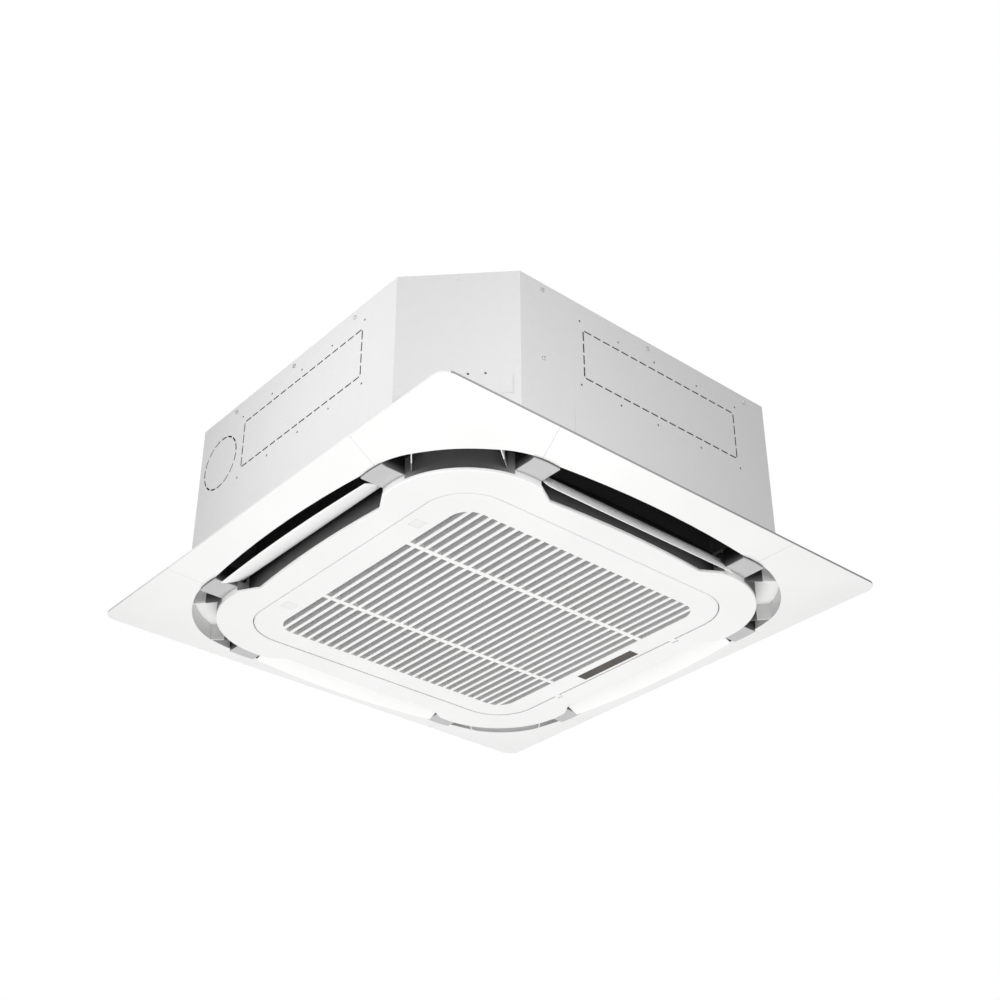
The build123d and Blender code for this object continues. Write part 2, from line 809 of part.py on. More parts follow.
with BuildPart() as bell_mouth:
    extrude(rounded_square(plate_z, mouth_plate_half, mouth_plate_r), amount=mouth_wall)
    extrude(disc(plate_z, mouth_flare_r), amount=mouth_wall, mode=Mode.SUBTRACT)
    with BuildSketch(Plane.XZ) as flare:
        with BuildLine():
            flare_centre = (mouth_flare_r, mouth_flare_top)
            throat_back = mouth_throat_r + mouth_wall
            EllipticalCenterArc(flare_centre, mouth_spread, mouth_drop, 180, arc_size=90)
            Line((mouth_flare_r, plate_z), (mouth_flare_r, plate_z + mouth_wall))
            EllipticalCenterArc(
                flare_centre, mouth_spread - mouth_wall, mouth_drop - mouth_wall, 180, arc_size=90
            )
            Line((throat_back, mouth_flare_top), (throat_back, mouth_top))
            Line((throat_back, mouth_top), (mouth_throat_r, mouth_top))
            Line((mouth_throat_r, mouth_top), (mouth_throat_r, mouth_flare_top))
        make_face()
    revolve(flare.sketch, axis=Axis.Z)
save(bell_mouth.part, "bell_mouth")


# ---------------------------------------------------------------- fan and motor
def hexagon(z, across, centre=(0, 0)):
    """A hexagon nut's outline at height z."""
    with BuildSketch(Plane.XY.offset(z)) as outline:
        with Locations(centre):
            RegularPolygon(across / 2, 6, major_radius=False)
    return outline.sketch


stud_spots = [(stud_circle_r * math.cos(math.radians(45 + 90 * k)),
               stud_circle_r * math.sin(math.radians(45 + 90 * k))) for k in range(4)]
flange_top = motor_flange_height + motor_flange_plate
damper_top = flange_top + damper_height
damper_bottom = motor_flange_height - damper_height
nut_bottom = damper_bottom - motor_nut_height
stud_end = nut_bottom - stud_tip

with BuildPart() as motor_bracket:
    extrude(disc(sheet_top - motor_plate, motor_opening_r - motor_plate_gap), amount=motor_plate)
    for spot in stud_spots:
        extrude(disc(damper_top, damper_r - 2, spot), amount=sheet_top - damper_top)
        extrude(disc(stud_end, stud_r, spot), amount=sheet_top - stud_end)
save(motor_bracket.part, "motor_bracket")

with BuildPart() as motor_dampers:
    for spot in stud_spots:
        extrude(disc(damper_bottom, damper_r, spot), amount=damper_height)
        extrude(disc(flange_top, damper_r, spot), amount=damper_height)
        extrude(disc(motor_flange_height, damper_plate, spot), amount=motor_flange_plate)
        extrude(disc(damper_bottom, stud_r + screw_clearance, spot),
                amount=damper_top - damper_bottom, mode=Mode.SUBTRACT)
save(motor_dampers.part, "motor_dampers")

with BuildPart() as motor_nuts:
    for spot in stud_spots:
        extrude(hexagon(nut_bottom, motor_nut_across, spot), amount=motor_nut_height)
        extrude(disc(nut_bottom, stud_r + screw_clearance, spot), amount=motor_nut_height,
                mode=Mode.SUBTRACT)
save(motor_nuts.part, "motor_nuts")

rib_bottom = motor_bottom + motor_rib_margin
nose_bottom = motor_bottom - motor_nose
with BuildPart() as motor_case:
    extrude(disc(motor_bottom, motor_r), amount=motor_top - motor_bottom)
    fillet(motor_case.edges().filter_by(GeomType.CIRCLE), radius=motor_edge_r)
    extrude(disc(nose_bottom, motor_nose_r), amount=motor_nose + 12)
    extrude(disc(motor_flange_height, motor_flange_r), amount=motor_flange_plate)
    for spot in stud_spots:
        extrude(disc(motor_flange_height, damper_plate + screw_clearance, spot),
                amount=motor_flange_plate, mode=Mode.SUBTRACT)
    with BuildSketch(Plane.XY.offset(rib_bottom)) as rib_ring:
        with PolarLocations(motor_r, motor_ribs):
            Rectangle(motor_rib_depth, motor_rib_width)
    extrude(rib_ring.sketch, amount=motor_flange_height - motor_nose - rib_bottom)
    extrude(disc(nose_bottom, shaft_r + shaft_clearance), amount=motor_nose + shaft_end + 2,
            mode=Mode.SUBTRACT)
save(motor_case.part, "motor_case")

with BuildPart() as motor_shaft:
    extrude(disc(shaft_bottom, shaft_r), amount=motor_bottom + shaft_end - shaft_bottom)
    chamfer(motor_shaft.edges().filter_by(GeomType.CIRCLE), length=0.8)
save(motor_shaft.part, "motor_shaft")

cone_top = fan_top - fan_plate
with BuildPart() as turbo_fan:
    with BuildSketch(Plane.XZ) as hub:
        with BuildLine():
            bore = shaft_r + shaft_clearance
            Polyline(
                [
                    (bore, boss_bottom),
                    (boss_r, boss_bottom),
                    (boss_r, fan_hub_floor),
                    (fan_hub_r, fan_hub_floor),
                    (fan_cone_r, cone_top),
                    (fan_r, cone_top),
                    (fan_r, fan_top),
                    (fan_cone_r - fan_plate, fan_top),
                    (fan_hub_r - fan_plate, fan_hub_floor + fan_plate),
                    (bore, fan_hub_floor + fan_plate),
                ],
                close=True,
            )
        make_face()
    revolve(hub.sketch, axis=Axis.Z)
    shroud_top = shroud_bottom + shroud_rise
    with BuildSketch(Plane.XZ) as shroud:
        with BuildLine():
            ThreePointArc(
                (shroud_inlet_r + shroud_wall, shroud_bottom),
                (shroud_inlet_r + shroud_bow, shroud_bottom + shroud_bow_rise),
                (fan_r, shroud_top),
            )
            Line((fan_r, shroud_top), (fan_r, shroud_top + shroud_wall))
            ThreePointArc(
                (fan_r, shroud_top + shroud_wall),
                (shroud_inlet_r + shroud_bow - 2, shroud_bottom + shroud_bow_rise + shroud_wall),
                (shroud_inlet_r, shroud_bottom),
            )
            Line((shroud_inlet_r, shroud_bottom), (shroud_inlet_r + shroud_wall, shroud_bottom))
        make_face()
    revolve(shroud.sketch, axis=Axis.Z)
    blade_bottom = shroud_top + 0.6
    with BuildSketch(Plane.XY.offset(blade_bottom)) as blades:
        for number in range(fan_blades):
            turn = 360 / fan_blades * number
            tip = fan_r - blade_thickness
            middle = (blade_inner_r + tip) / 2
            SlotArc(
                ThreePointArc(
                    Vector(blade_inner_r, 0).rotate(Axis.Z, turn),
                    Vector(middle, 0).rotate(Axis.Z, turn - blade_mid_turn),
                    Vector(tip, 0).rotate(Axis.Z, turn - blade_tip_turn),
                ),
                blade_thickness,
            )
    extrude(blades.sketch, amount=cone_top + 1.6 - blade_bottom)
save(turbo_fan.part, "turbo_fan")

with BuildPart() as fan_nut:
    extrude(hexagon(boss_bottom - nut_height, nut_across), amount=nut_height)
    extrude(disc(boss_bottom - nut_height, shaft_r + shaft_clearance), amount=nut_height,
            mode=Mode.SUBTRACT)
save(fan_nut.part, "fan_nut")

# ---------------------------------------------------------------- coil
tube_heights = [tube_first + tube_pitch * row for row in range(tube_rows)]
row_offsets = (-tube_row_spacing / 2, tube_row_spacing / 2)
coil_inner = coil_half - coil_thickness / 2
coil_outer = coil_half + coil_thickness / 2


def coil_tube(row_offset, height, radius):
    """One long tube round the coil's four sides at a height."""
    half = coil_half + row_offset
    with BuildPart() as tube:
        with BuildLine() as path:
            FilletPolyline(
                (half, coil_end_x + tube_stub, height),
                (half, -half, height),
                (-half, -half, height),
                (-half, half, height),
                (coil_end_y + tube_stub, half, height),
                radius=coil_bend_r + row_offset,
            )
        with BuildSketch(Plane(origin=path.line @ 0, z_dir=path.line % 0)):
            Circle(radius)
        sweep(path=path.line)
    return tube.part


with BuildPart() as coil_fins:
    extrude(rounded_square(coil_bottom, coil_outer, coil_bend_r + coil_thickness / 2),
            amount=liner_ceiling - coil_bottom)
    extrude(rounded_square(coil_bottom, coil_inner, coil_bend_r - coil_thickness / 2),
            amount=liner_ceiling - coil_bottom, mode=Mode.SUBTRACT)
    with BuildSketch(Plane.XY.offset(coil_bottom)) as open_corner:
        with Locations((coil_end_y, coil_end_x)):
            Rectangle(coil_outer, coil_outer, align=(Align.MIN, Align.MIN))
    extrude(open_corner.sketch, amount=liner_ceiling - coil_bottom, mode=Mode.SUBTRACT)
    for height in tube_heights:
        for row_offset in row_offsets:
            add(coil_tube(row_offset, height, tube_r + tube_clearance), mode=Mode.SUBTRACT)
save(coil_fins.part, "coil_fins")

with BuildPart() as coil_tubes:
    for row_offset in row_offsets:
        half = coil_half + row_offset
        for height in tube_heights:
            add(coil_tube(row_offset, height, tube_r))
        for number in range(tube_rows - 1):
            bend_height = tube_heights[number] + tube_pitch / 2
            if number % 2 == 0:
                start = Vector(coil_end_y + tube_stub, half, tube_heights[number])
                outwards = (1, 0, 0)
                turning = Axis((start.X, half, bend_height), (0, -1, 0))
            else:
                start = Vector(half, coil_end_x + tube_stub, tube_heights[number])
                outwards = (0, 1, 0)
                turning = Axis((half, start.Y, bend_height), (1, 0, 0))
            with BuildSketch(Plane(origin=start, z_dir=outwards)) as bend:
                Circle(tube_r)
            revolve(bend.sketch, axis=turning, revolution_arc=180)
save(coil_tubes.part, "coil_tubes")

with BuildPart() as coil_end_plates:
    plate_middle = (coil_bottom + liner_ceiling) / 2
    plate_height = liner_ceiling - coil_bottom
    plate_width = coil_thickness + 2 * end_plate_margin
    with Locations((coil_half, coil_end_x + end_plate / 2, plate_middle)):
        Box(plate_width, end_plate, plate_height)
    with Locations((coil_end_y + end_plate / 2, coil_half, plate_middle)):
        Box(end_plate, plate_width, plate_height)
    for height in tube_heights:
        for row_offset in row_offsets:
            add(coil_tube(row_offset, height, tube_r + tube_clearance), mode=Mode.SUBTRACT)
save(coil_end_plates.part, "coil_end_plates")


def pipe_part(points, radius, bend_r, header_r):
    """A refrigerant pipe along points, with the small header that it starts from."""
    with BuildPart() as pipe:
        with BuildLine() as path:
            FilletPolyline(*points, radius=bend_r)
        with BuildSketch(Plane(origin=path.line @ 0, z_dir=path.line % 0)):
            Circle(radius)
        sweep(path=path.line)
        with Locations(Plane(origin=points[0], z_dir=(1, 0, 0))):
            Cylinder(header_r, coil_thickness + 2)
    return pipe.part


def union_part(height, thread_r, hex_across):
    """A male union on a pipe's end: a hexagon and a threaded nose with a bore."""
    inner_end = pipe_run / 2 + pipe_outside
    place = pipe_line(height)
    with BuildPart() as union:
        with BuildSketch(place.offset(inner_end)) as grip:
            RegularPolygon(hex_across / 2, 6, major_radius=False)
        extrude(grip.sketch, amount=union_hex)
        with BuildSketch(place.offset(inner_end + union_hex)) as nose:
            Circle(thread_r)
        extrude(nose.sketch, amount=union_thread)
    return union.part


def pipe_start(height, radius):
    """Where a header touches the ends of the coil's tubes."""
    return Vector(coil_half, coil_end_x + tube_stub + radius, height)


gas_turn = Vector(coil_half, pipe_turn_y, gas_height)
pipe_reach = corner_axis * (pipe_run / 2 + pipe_outside)
gas_header_r = gas_pipe_r + header_wall
gas_pipe = pipe_part([pipe_start(tube_heights[-1], gas_header_r), gas_turn, gas_turn + pipe_reach],
                     gas_pipe_r, gas_bend_r, gas_header_r)
save(gas_pipe, "gas_pipe")
liquid_turn = Vector(coil_half, pipe_turn_y, liquid_height)
liquid_low = Vector(coil_half, pipe_turn_y, tube_heights[0])
liquid_header_r = liquid_pipe_r + header_wall
liquid_pipe = pipe_part(
    [pipe_start(tube_heights[0], liquid_header_r), liquid_low, liquid_turn, liquid_turn + pipe_reach],
    liquid_pipe_r, liquid_bend_r, liquid_header_r)
save(liquid_pipe, "liquid_pipe")
save(union_part(gas_height, gas_union_r, gas_union_hex), "gas_union")
save(union_part(liquid_height, liquid_union_r, liquid_union_hex), "liquid_union")

with BuildPart() as pipe_cover:
    with Locations(corner_plane(chamfer_distance, pipe_side, pipe_cover_middle)):
        Box(pipe_cover_width, pipe_cover_height, sheet, align=LOW)
    for height, radius in ((gas_height, gas_pipe_r), (liquid_height, liquid_pipe_r)):
        with Locations(pipe_line(height)):
            Cylinder(radius + pipe_cover_clearance, pipe_run, align=LOW, mode=Mode.SUBTRACT)
save(pipe_cover.part, "pipe_cover")

# ---------------------------------------------------------------- drain pump and float
with BuildPart() as pump_bracket:
    with BuildSketch(Plane.XY.offset(pump_top)) as shelf:
        with Locations(((stand_left + stand_right) / 2, (stand_front + stand_back) / 2)):
            Rectangle(stand_right - stand_left, stand_back - stand_front)
    extrude(shelf.sketch, amount=stand_plate)
    with BuildSketch(Plane.XY.offset(trough_floor)) as legs:
        with Locations(((stand_left + stand_right) / 2, (stand_front + stand_back) / 2)):
            with GridLocations(stand_right - stand_left - stand_leg,
                               stand_back - stand_front - stand_leg, 2, 2):
                Rectangle(stand_leg, stand_leg)
    extrude(legs.sketch, amount=pump_top - trough_floor)
save(pump_bracket.part, "pump_bracket")

pump_spot = (pump_x, pump_y)
with BuildPart() as pump_motor:
    extrude(disc(pump_middle, pump_r, pump_spot), amount=pump_top - pump_middle)
    chamfer(pump_motor.edges().filter_by(GeomType.CIRCLE), length=pump_edge)
    extrude(disc(pump_middle, impeller_shaft_r + pin_clearance, pump_spot),
            amount=impeller_shaft_length + 2, mode=Mode.SUBTRACT)
save(pump_motor.part, "pump_motor")

pump_outlet_height = (pump_chamber_floor + pump_middle) / 2
with BuildPart() as pump_housing:
    extrude(disc(pump_chamber_floor, pump_chamber_r, pump_spot),
            amount=pump_middle - pump_chamber_floor)
    extrude(disc(pump_inlet_bottom, pump_inlet_r, pump_spot),
            amount=pump_chamber_floor - pump_inlet_bottom)
    extrude(disc(pump_chamber_floor + pump_wall, pump_chamber_r - pump_wall, pump_spot),
            amount=pump_middle - pump_chamber_floor, mode=Mode.SUBTRACT)
    extrude(disc(pump_inlet_bottom, pump_inlet_r - pump_wall, pump_spot),
            amount=pump_chamber_floor - pump_inlet_bottom + pump_wall, mode=Mode.SUBTRACT)
    with Locations(Plane(origin=(pump_x, pump_y, pump_outlet_height), z_dir=(1, 0, 0))):
        Cylinder(drain_hose_r - pump_wall, 2 * pump_chamber_r, align=LOW, mode=Mode.SUBTRACT)
save(pump_housing.part, "pump_housing")

with BuildPart() as pump_impeller:
    impeller_bottom = pump_chamber_floor + impeller_gap
    impeller_top = pump_middle - impeller_gap
    extrude(disc(impeller_bottom, impeller_hub_r, pump_spot), amount=impeller_top - impeller_bottom)
    extrude(disc(impeller_top - impeller_plate, impeller_r, pump_spot), amount=impeller_plate)
    with BuildSketch(Plane.XY.offset(impeller_bottom)) as vanes:
        with Locations(pump_spot):
            with PolarLocations(impeller_r / 2, impeller_blades):
                Rectangle(impeller_r - 1, 2)
    extrude(vanes.sketch, amount=impeller_top - impeller_bottom)
    extrude(disc(impeller_top, impeller_shaft_r, pump_spot),
            amount=pump_middle + impeller_shaft_length - impeller_top)
save(pump_impeller.part, "pump_impeller")

float_spot = (float_x, float_y)
float_bottom = trough_floor + float_rest
with BuildPart() as float_stem:
    extrude(disc(trough_floor, float_stem_r, float_spot), amount=pump_top - trough_floor)
    extrude(disc(float_bottom + float_height + float_travel + 0.5, float_stop_r, float_spot),
            amount=float_stop)
save(float_stem.part, "float_stem")

with BuildPart() as float_ring:
    extrude(disc(float_bottom, float_r, float_spot), amount=float_height)
    fillet(float_ring.edges().filter_by(GeomType.CIRCLE), radius=float_edge_r)
    extrude(disc(float_bottom, float_stem_r + float_clearance, float_spot), amount=float_height,
            mode=Mode.SUBTRACT)
save(float_ring.part, "float_ring")

outlet_start = casing_half - foam_wall
with BuildPart() as drain_hose:
    with BuildLine() as hose_path:
        FilletPolyline(
            (pump_x + pump_chamber_r, pump_y, pump_outlet_height),
            (drain_rise_x, pump_y, pump_outlet_height),
            (drain_rise_x, pump_y, drain_height),
            (outlet_start, pump_y, drain_height),
            radius=(drain_rise_x - pump_x - pump_chamber_r) * 0.8,
        )
    with BuildSketch(Plane(origin=hose_path.line @ 0, z_dir=hose_path.line % 0)):
        Circle(drain_hose_r)
        Circle(drain_hose_r - pump_wall, mode=Mode.SUBTRACT)
    sweep(path=hose_path.line)
save(drain_hose.part, "drain_hose")

outlet_plane = Plane(origin=(outlet_start, pump_y, drain_height), z_dir=(1, 0, 0))
with BuildPart() as drain_outlet:
    with Locations(outlet_plane):
        Cylinder(drain_outlet_r, foam_wall + drain_outlet_length, align=LOW)
    with Locations(outlet_plane.offset(foam_wall)):
        Cylinder(drain_outlet_r + drain_flange, drain_flange_thickness, align=LOW)
    with Locations(outlet_plane.offset(drain_stop)):
        Cylinder(drain_outlet_r - drain_outlet_wall, foam_wall + drain_outlet_length, align=LOW,
                 mode=Mode.SUBTRACT)
    with Locations(outlet_plane):
        Cylinder(drain_hose_r - pump_wall, 2 * drain_stop, align=LOW, mode=Mode.SUBTRACT)
save(drain_outlet.part, "drain_outlet")

# ---------------------------------------------------------------- control box and cable inlet
control_x = control_inner + control_width / 2
control_top = plate_z
control_floor = control_top - control_height
board_z = control_top - board_drop
board_face = board_z - board_thickness
with BuildPart() as control_box:
    with Locations((control_x, 0, control_top)):
        Box(control_width, control_length, control_height, align=HIGH)
    with Locations((control_x, 0, control_top - sheet)):
        Box(control_width - 2 * sheet, control_length - 2 * sheet, control_height, align=HIGH,
            mode=Mode.SUBTRACT)
    with Locations((control_x, board_y, board_z)):
        with GridLocations(board_width - 10, board_length - 12, 2, 2):
            Cylinder(standoff_r, board_drop, align=LOW)
save(control_box.part, "control_box")

with BuildPart() as control_cover:
    with Locations((control_x, 0, control_floor)):
        Box(control_width, control_length, sheet, align=HIGH)
save(control_cover.part, "control_cover")

with BuildPart() as control_board:
    with Locations((control_x, board_y, board_z)):
        Box(board_width, board_length, board_thickness, align=HIGH)
    for across, along, width, length, height in relay_spots:
        with Locations((control_x + across, board_y + along, board_face)):
            Box(width, length, height, align=HIGH)
    with Locations((control_x, board_y + capacitor_y, board_face)):
        with GridLocations(22, 24, 2, 2):
            Cylinder(capacitor_r, capacitor_height, align=HIGH)
save(control_board.part, "control_board")

with BuildPart() as terminal_block:
    with Locations((control_x, terminal_y, control_top - sheet)):
        Box(terminal_width, terminal_length, terminal_height, align=HIGH)
        with GridLocations(terminal_pitch, terminal_rows, 5, 2):
            Cylinder(terminal_screw_r, terminal_height + 2, align=HIGH)
save(terminal_block.part, "terminal_block")

grommet_plane = on_wall(right_wall, grommet_y, grommet_z)
with BuildPart() as cable_grommet:
    with Locations(grommet_plane.offset(-grommet_depth)):
        Cylinder(grommet_r, grommet_depth, align=LOW)
    with Locations(grommet_plane):
        Cylinder(grommet_r + grommet_flange, grommet_flange, align=LOW)
    with Locations(grommet_plane):
        Cylinder(grommet_bore_r, 5 * grommet_depth, mode=Mode.SUBTRACT)
save(cable_grommet.part, "cable_grommet")

# ---------------------------------------------------------------- panel pieces
def panel_dome(lift):
    """The panel's sloping outer body, raised by lift, and flat on top."""
    with BuildPart() as dome:
        with BuildSketch(Plane.XY.offset(rim_z + lift)) as wide:
            RectangleRounded(panel_side, panel_side, rim_corner_r)
        with BuildSketch(Plane.XY.offset(rim_z - panel_drop + lift)):
            RectangleRounded(2 * drop_half, 2 * drop_half, drop_corner_r)
        loft(ruled=True)
        if lift < rim_thickness:
            extrude(wide.sketch, amount=rim_thickness - lift)
    return dome.part


def corner_zones(z, shrink):
    """The four corners that the corner covers take, each drawn in by shrink at its seams."""
    slope = (seam_outer - seam_inner) / (panel_half - lip_mid + skin)
    outside = panel_half + 10
    inside = lip_mid - 90
    outer_seam = seam_outer + slope * 10 + shrink
    inner_seam = seam_outer - slope * (panel_half - inside) + shrink
    with BuildSketch(Plane.XY.offset(z)) as zones:
        for quarter in range(4):
            corner = [
                (outside, outer_seam),
                (inside, inner_seam),
                (inner_seam, inside),
                (outer_seam, outside),
                (outside, outside),
            ]
            with BuildLine():
                Polyline([turned(x, y, quarter) for x, y in corner], close=True)
            make_face()
    return zones.sketch


def dome_hollow(lift, zones, mode):
    """The space behind the panel's skin, kept inside or outside the corner zones."""
    with BuildPart() as hollow:
        add(panel_dome(lift))
        extrude(rounded_square(zone_floor, panel_half - skin, rim_corner_r - skin),
                amount=zone_depth, mode=Mode.INTERSECT)
        extrude(zones, amount=zone_depth, mode=mode)
        extrude(lip_outline(zone_floor, channel_wall), amount=zone_depth, mode=Mode.SUBTRACT)
    return hollow.part


def ring_band(z, near, far):
    """The part of the outlet ring between two distances from each slot's middle."""
    with BuildSketch(Plane.XY.offset(z)) as bands:
        for quarter in range(4):
            for side in (-1, 1):
                spot = turned(lip_mid - 60, side * (near + far) / 2, quarter)
                upright = quarter % 2 == 0
                with Locations(spot):
                    Rectangle(160 if upright else far - near, far - near if upright else 160)
    return bands.sketch


def ring_slice(z, height, near, far, inset=0.0):
    """Solid pieces of the outlet ring between two distances from each slot's middle."""
    with BuildPart() as slice_part:
        extrude(lip_outline(z), amount=height)
        extrude(guide_outline(z, -inset), amount=height, mode=Mode.SUBTRACT)
        extrude(ring_band(z, near, far), amount=height, mode=Mode.INTERSECT)
    return slice_part.part


def louvre_axis(quarter, along):
    """The plane across a louvre's pivot, at a distance along it."""
    x, y = turned(louvre_pivot, along, quarter)
    dx, dy = turned(0, 1, quarter)
    return Plane(origin=(x, y, louvre_height), z_dir=(dx, dy, 0))


zone_depth = 60.0
zone_floor = ceiling_z - zone_depth
ring_depth = casing_bottom - zone_floor
cover_top = skin + cover_gap
web_top = divider_bottom + divider_plate
boss_corner = at_corner(chamfer_distance + panel_screw_reach, 0, 0)
boss_spots = [turned(boss_corner.X, boss_corner.Y, quarter) for quarter in range(4)]
clip_reach = panel_half - clip_margin
clip_corners = ((clip_reach, clip_place), (clip_place, clip_reach))
clip_spots = [turned(x, y, quarter) for quarter in range(4) for x, y in clip_corners]

with BuildPart() as boss_feet:
    for spot in boss_spots:
        extrude(disc(zone_floor, boss_foot_r, spot), amount=zone_depth)
    add(panel_dome(cover_top), mode=Mode.INTERSECT)

with BuildPart() as cover_pocket:
    add(panel_dome(0))
    add(panel_dome(cover_top), mode=Mode.SUBTRACT)
    extrude(corner_zones(zone_floor, 0), amount=zone_depth, mode=Mode.INTERSECT)

with BuildPart() as divider_webs:
    extrude(guide_outline(inner_top - 1), amount=web_top - inner_top + 1)
    extrude(guide_outline(inner_top - 1, -web_width), amount=ring_depth, mode=Mode.SUBTRACT)
    extrude(ring_band(inner_top - 1, divider_near, divider_far), amount=ring_depth,
            mode=Mode.INTERSECT)

with BuildSketch(Plane.XY.offset(divider_bottom)) as rib_lines:
    for quarter in range(4):
        with Locations(turned(rib_x, rib_y, quarter)):
            Rectangle(rib_length, rib_thickness, rotation=rib_turn + 90 * quarter)
        with Locations(turned(rib_y, rib_x, quarter)):
            Rectangle(rib_length, rib_thickness, rotation=90 - rib_turn + 90 * quarter)

with BuildPart() as corner_ribs:
    extrude(rib_lines.sketch, amount=channel_top - divider_bottom)
    extrude(lip_outline(divider_bottom), amount=ring_depth, mode=Mode.INTERSECT)
    extrude(guide_outline(divider_bottom), amount=ring_depth, mode=Mode.SUBTRACT)

with BuildPart() as inner_panel:
    extrude(inner_outline(inner_face), amount=inner_plate)
    fillet(inner_panel.edges().group_by(Axis.Z)[0], radius=inner_edge_r)

ear_end = hinge_x + hinge_ear_r + hinge_gap
ear_top = hinge_z + hinge_ear_r + hinge_gap
notch_width = hinge_ear_width + 2 * hinge_gap
boss_width = notch_width + 2 * hinge_wall

with BuildPart() as panel_frame:
    # outer skin with its four pockets for the corner covers
    add(panel_dome(0))
    extrude(lip_outline(rim_z, channel_wall), amount=channel_top - rim_z)
    add(dome_hollow(skin, corner_zones(zone_floor, -skin), Mode.SUBTRACT), mode=Mode.SUBTRACT)
    add(dome_hollow(cover_top + cover_plate, corner_zones(zone_floor, -skin), Mode.INTERSECT),
        mode=Mode.SUBTRACT)
    add(boss_feet.part)
    for spot in boss_spots:
        extrude(disc(ceiling_z, boss_foot_r, spot), amount=casing_bottom - ceiling_z)
    add(cover_pocket.part, mode=Mode.SUBTRACT)
    for spot in boss_spots:
        extrude(disc(boss_head_z - boss_hole_depth, screw_head_r + 1, spot),
                amount=boss_hole_depth, mode=Mode.SUBTRACT)
        extrude(disc(boss_head_z, screw_r + screw_clearance, spot), amount=boss_hole_depth,
                mode=Mode.SUBTRACT)
    for spot in clip_spots:
        extrude(disc(zone_floor, clip_r + cover_gap, spot), amount=zone_depth, mode=Mode.SUBTRACT)
    # the ring of air outlets, its dividers and the roofs over the corner outlets
    extrude(lip_outline(zone_floor), amount=ring_depth, mode=Mode.SUBTRACT)
    add(ring_slice(divider_bottom, divider_plate, divider_near, divider_far))
    for near in (divider_near, divider_far - divider_wall):
        add(ring_slice(divider_bottom, channel_top - divider_bottom, near, near + divider_wall))
    add(ring_slice(channel_top - divider_wall, divider_wall, divider_far, lip_mid))
    add(divider_webs.part)
    add(corner_ribs.part)
    # inner panel with the recess for the grille
    add(inner_panel.part)
    extrude(rounded_square(inner_top, opening_half + intake_wall, opening_corner + intake_wall),
            amount=intake_flange_top - inner_top)
    for side in (-1, 1):
        with Locations((opening_half, side * hinge_place, inner_top)):
            Box(ear_end + hinge_wall - opening_half, boss_width, ear_top + hinge_roof - inner_top,
                align=(Align.MIN, Align.CENTER, Align.MIN))
    extrude(rounded_square(inner_face, opening_half, opening_corner),
            amount=intake_flange_top - intake_flange - inner_face, mode=Mode.SUBTRACT)
    extrude(rounded_square(inner_face, intake_half, intake_corner_r), amount=ring_depth,
            mode=Mode.SUBTRACT)
    # grille hinge notches on the right edge of the recess, each with its pin
    for side in (-1, 1):
        with Locations((opening_half - 1, side * hinge_place, inner_face - 1)):
            Box(ear_end + 1 - opening_half, notch_width, ear_top + 1 - inner_face,
                align=(Align.MIN, Align.CENTER, Align.MIN), mode=Mode.SUBTRACT)
        with Locations(Plane(origin=(hinge_x, side * hinge_place, hinge_z), z_dir=(0, 1, 0))):
            Cylinder(hinge_pin_r, notch_width + hinge_wall)
    # bearings for the louvres
    for quarter in range(4):
        for side in (-1, 1):
            with Locations(louvre_axis(quarter, side * (divider_near + 1))):
                Cylinder(bush_r, 3 * divider_wall, mode=Mode.SUBTRACT)
save(panel_frame.part, "panel_frame")

guide_top = pan_bottom
with BuildPart() as air_guide:
    extrude(guide_outline(inner_top), amount=guide_top - inner_top)
    extrude(guide_outline(inner_top, -guide_wall), amount=guide_top - inner_top,
            mode=Mode.SUBTRACT)
    extrude(ring_band(inner_top, divider_near - fit_gap, divider_far + fit_gap),
            amount=web_top + fit_gap - inner_top, mode=Mode.SUBTRACT)
    for quarter in range(4):
        with Locations(louvre_axis(quarter, divider_near)):
            Cylinder(louvre_motor_r + 1, 3 * louvre_motor_length, mode=Mode.SUBTRACT)
        with Locations(louvre_axis(quarter, -divider_near)):
            Cylinder(bush_r + 3, 4 * bush_length, mode=Mode.SUBTRACT)
save(air_guide.part, "air_guide")

with BuildPart() as foam_seal:
    extrude(lip_outline(channel_top, channel_wall), amount=casing_bottom - channel_top)
    extrude(lip_outline(channel_top, -seal_width), amount=casing_bottom - channel_top,
            mode=Mode.SUBTRACT)
    for spot in boss_spots:
        extrude(disc(channel_top, boss_foot_r + 1, spot), amount=casing_bottom - channel_top,
                mode=Mode.SUBTRACT)
save(foam_seal.part, "foam_seal")

with BuildPart() as panel_screws:
    for spot in boss_spots:
        extrude(disc(boss_head_z - 3, screw_head_r, spot), amount=3)
        extrude(disc(boss_head_z, screw_r, spot), amount=casing_bottom + boss_screw_grip - boss_head_z)
save(panel_screws.part, "panel_screws")

cover_names = ("corner_cover_far", "corner_cover_left", "corner_cover_near", "corner_cover_right")
clip_foot = rim_z + 1 - panel_drop * clip_margin / (panel_half - drop_half)
with BuildPart() as corner_covers:
    add(panel_dome(0))
    add(panel_dome(skin), mode=Mode.SUBTRACT)
    extrude(corner_zones(zone_floor, cover_seam_gap), amount=zone_depth, mode=Mode.INTERSECT)
    extrude(lip_outline(zone_floor), amount=zone_depth, mode=Mode.SUBTRACT)
    for spot in clip_spots:
        extrude(disc(clip_foot, clip_r, spot), amount=clip_top - clip_foot)
for quarter, cover_name in enumerate(cover_names):
    quarter_turn = corner_covers.part.rotate(Axis.Z, -90 * quarter)
    with BuildPart() as corner_cover:
        add(quarter_turn)
        with Locations((panel_half / 2, panel_half / 2, ceiling_z)):
            Box(panel_half, panel_half, 200, mode=Mode.INTERSECT)
    save(corner_cover.part.rotate(Axis.Z, 90 * quarter), cover_name)

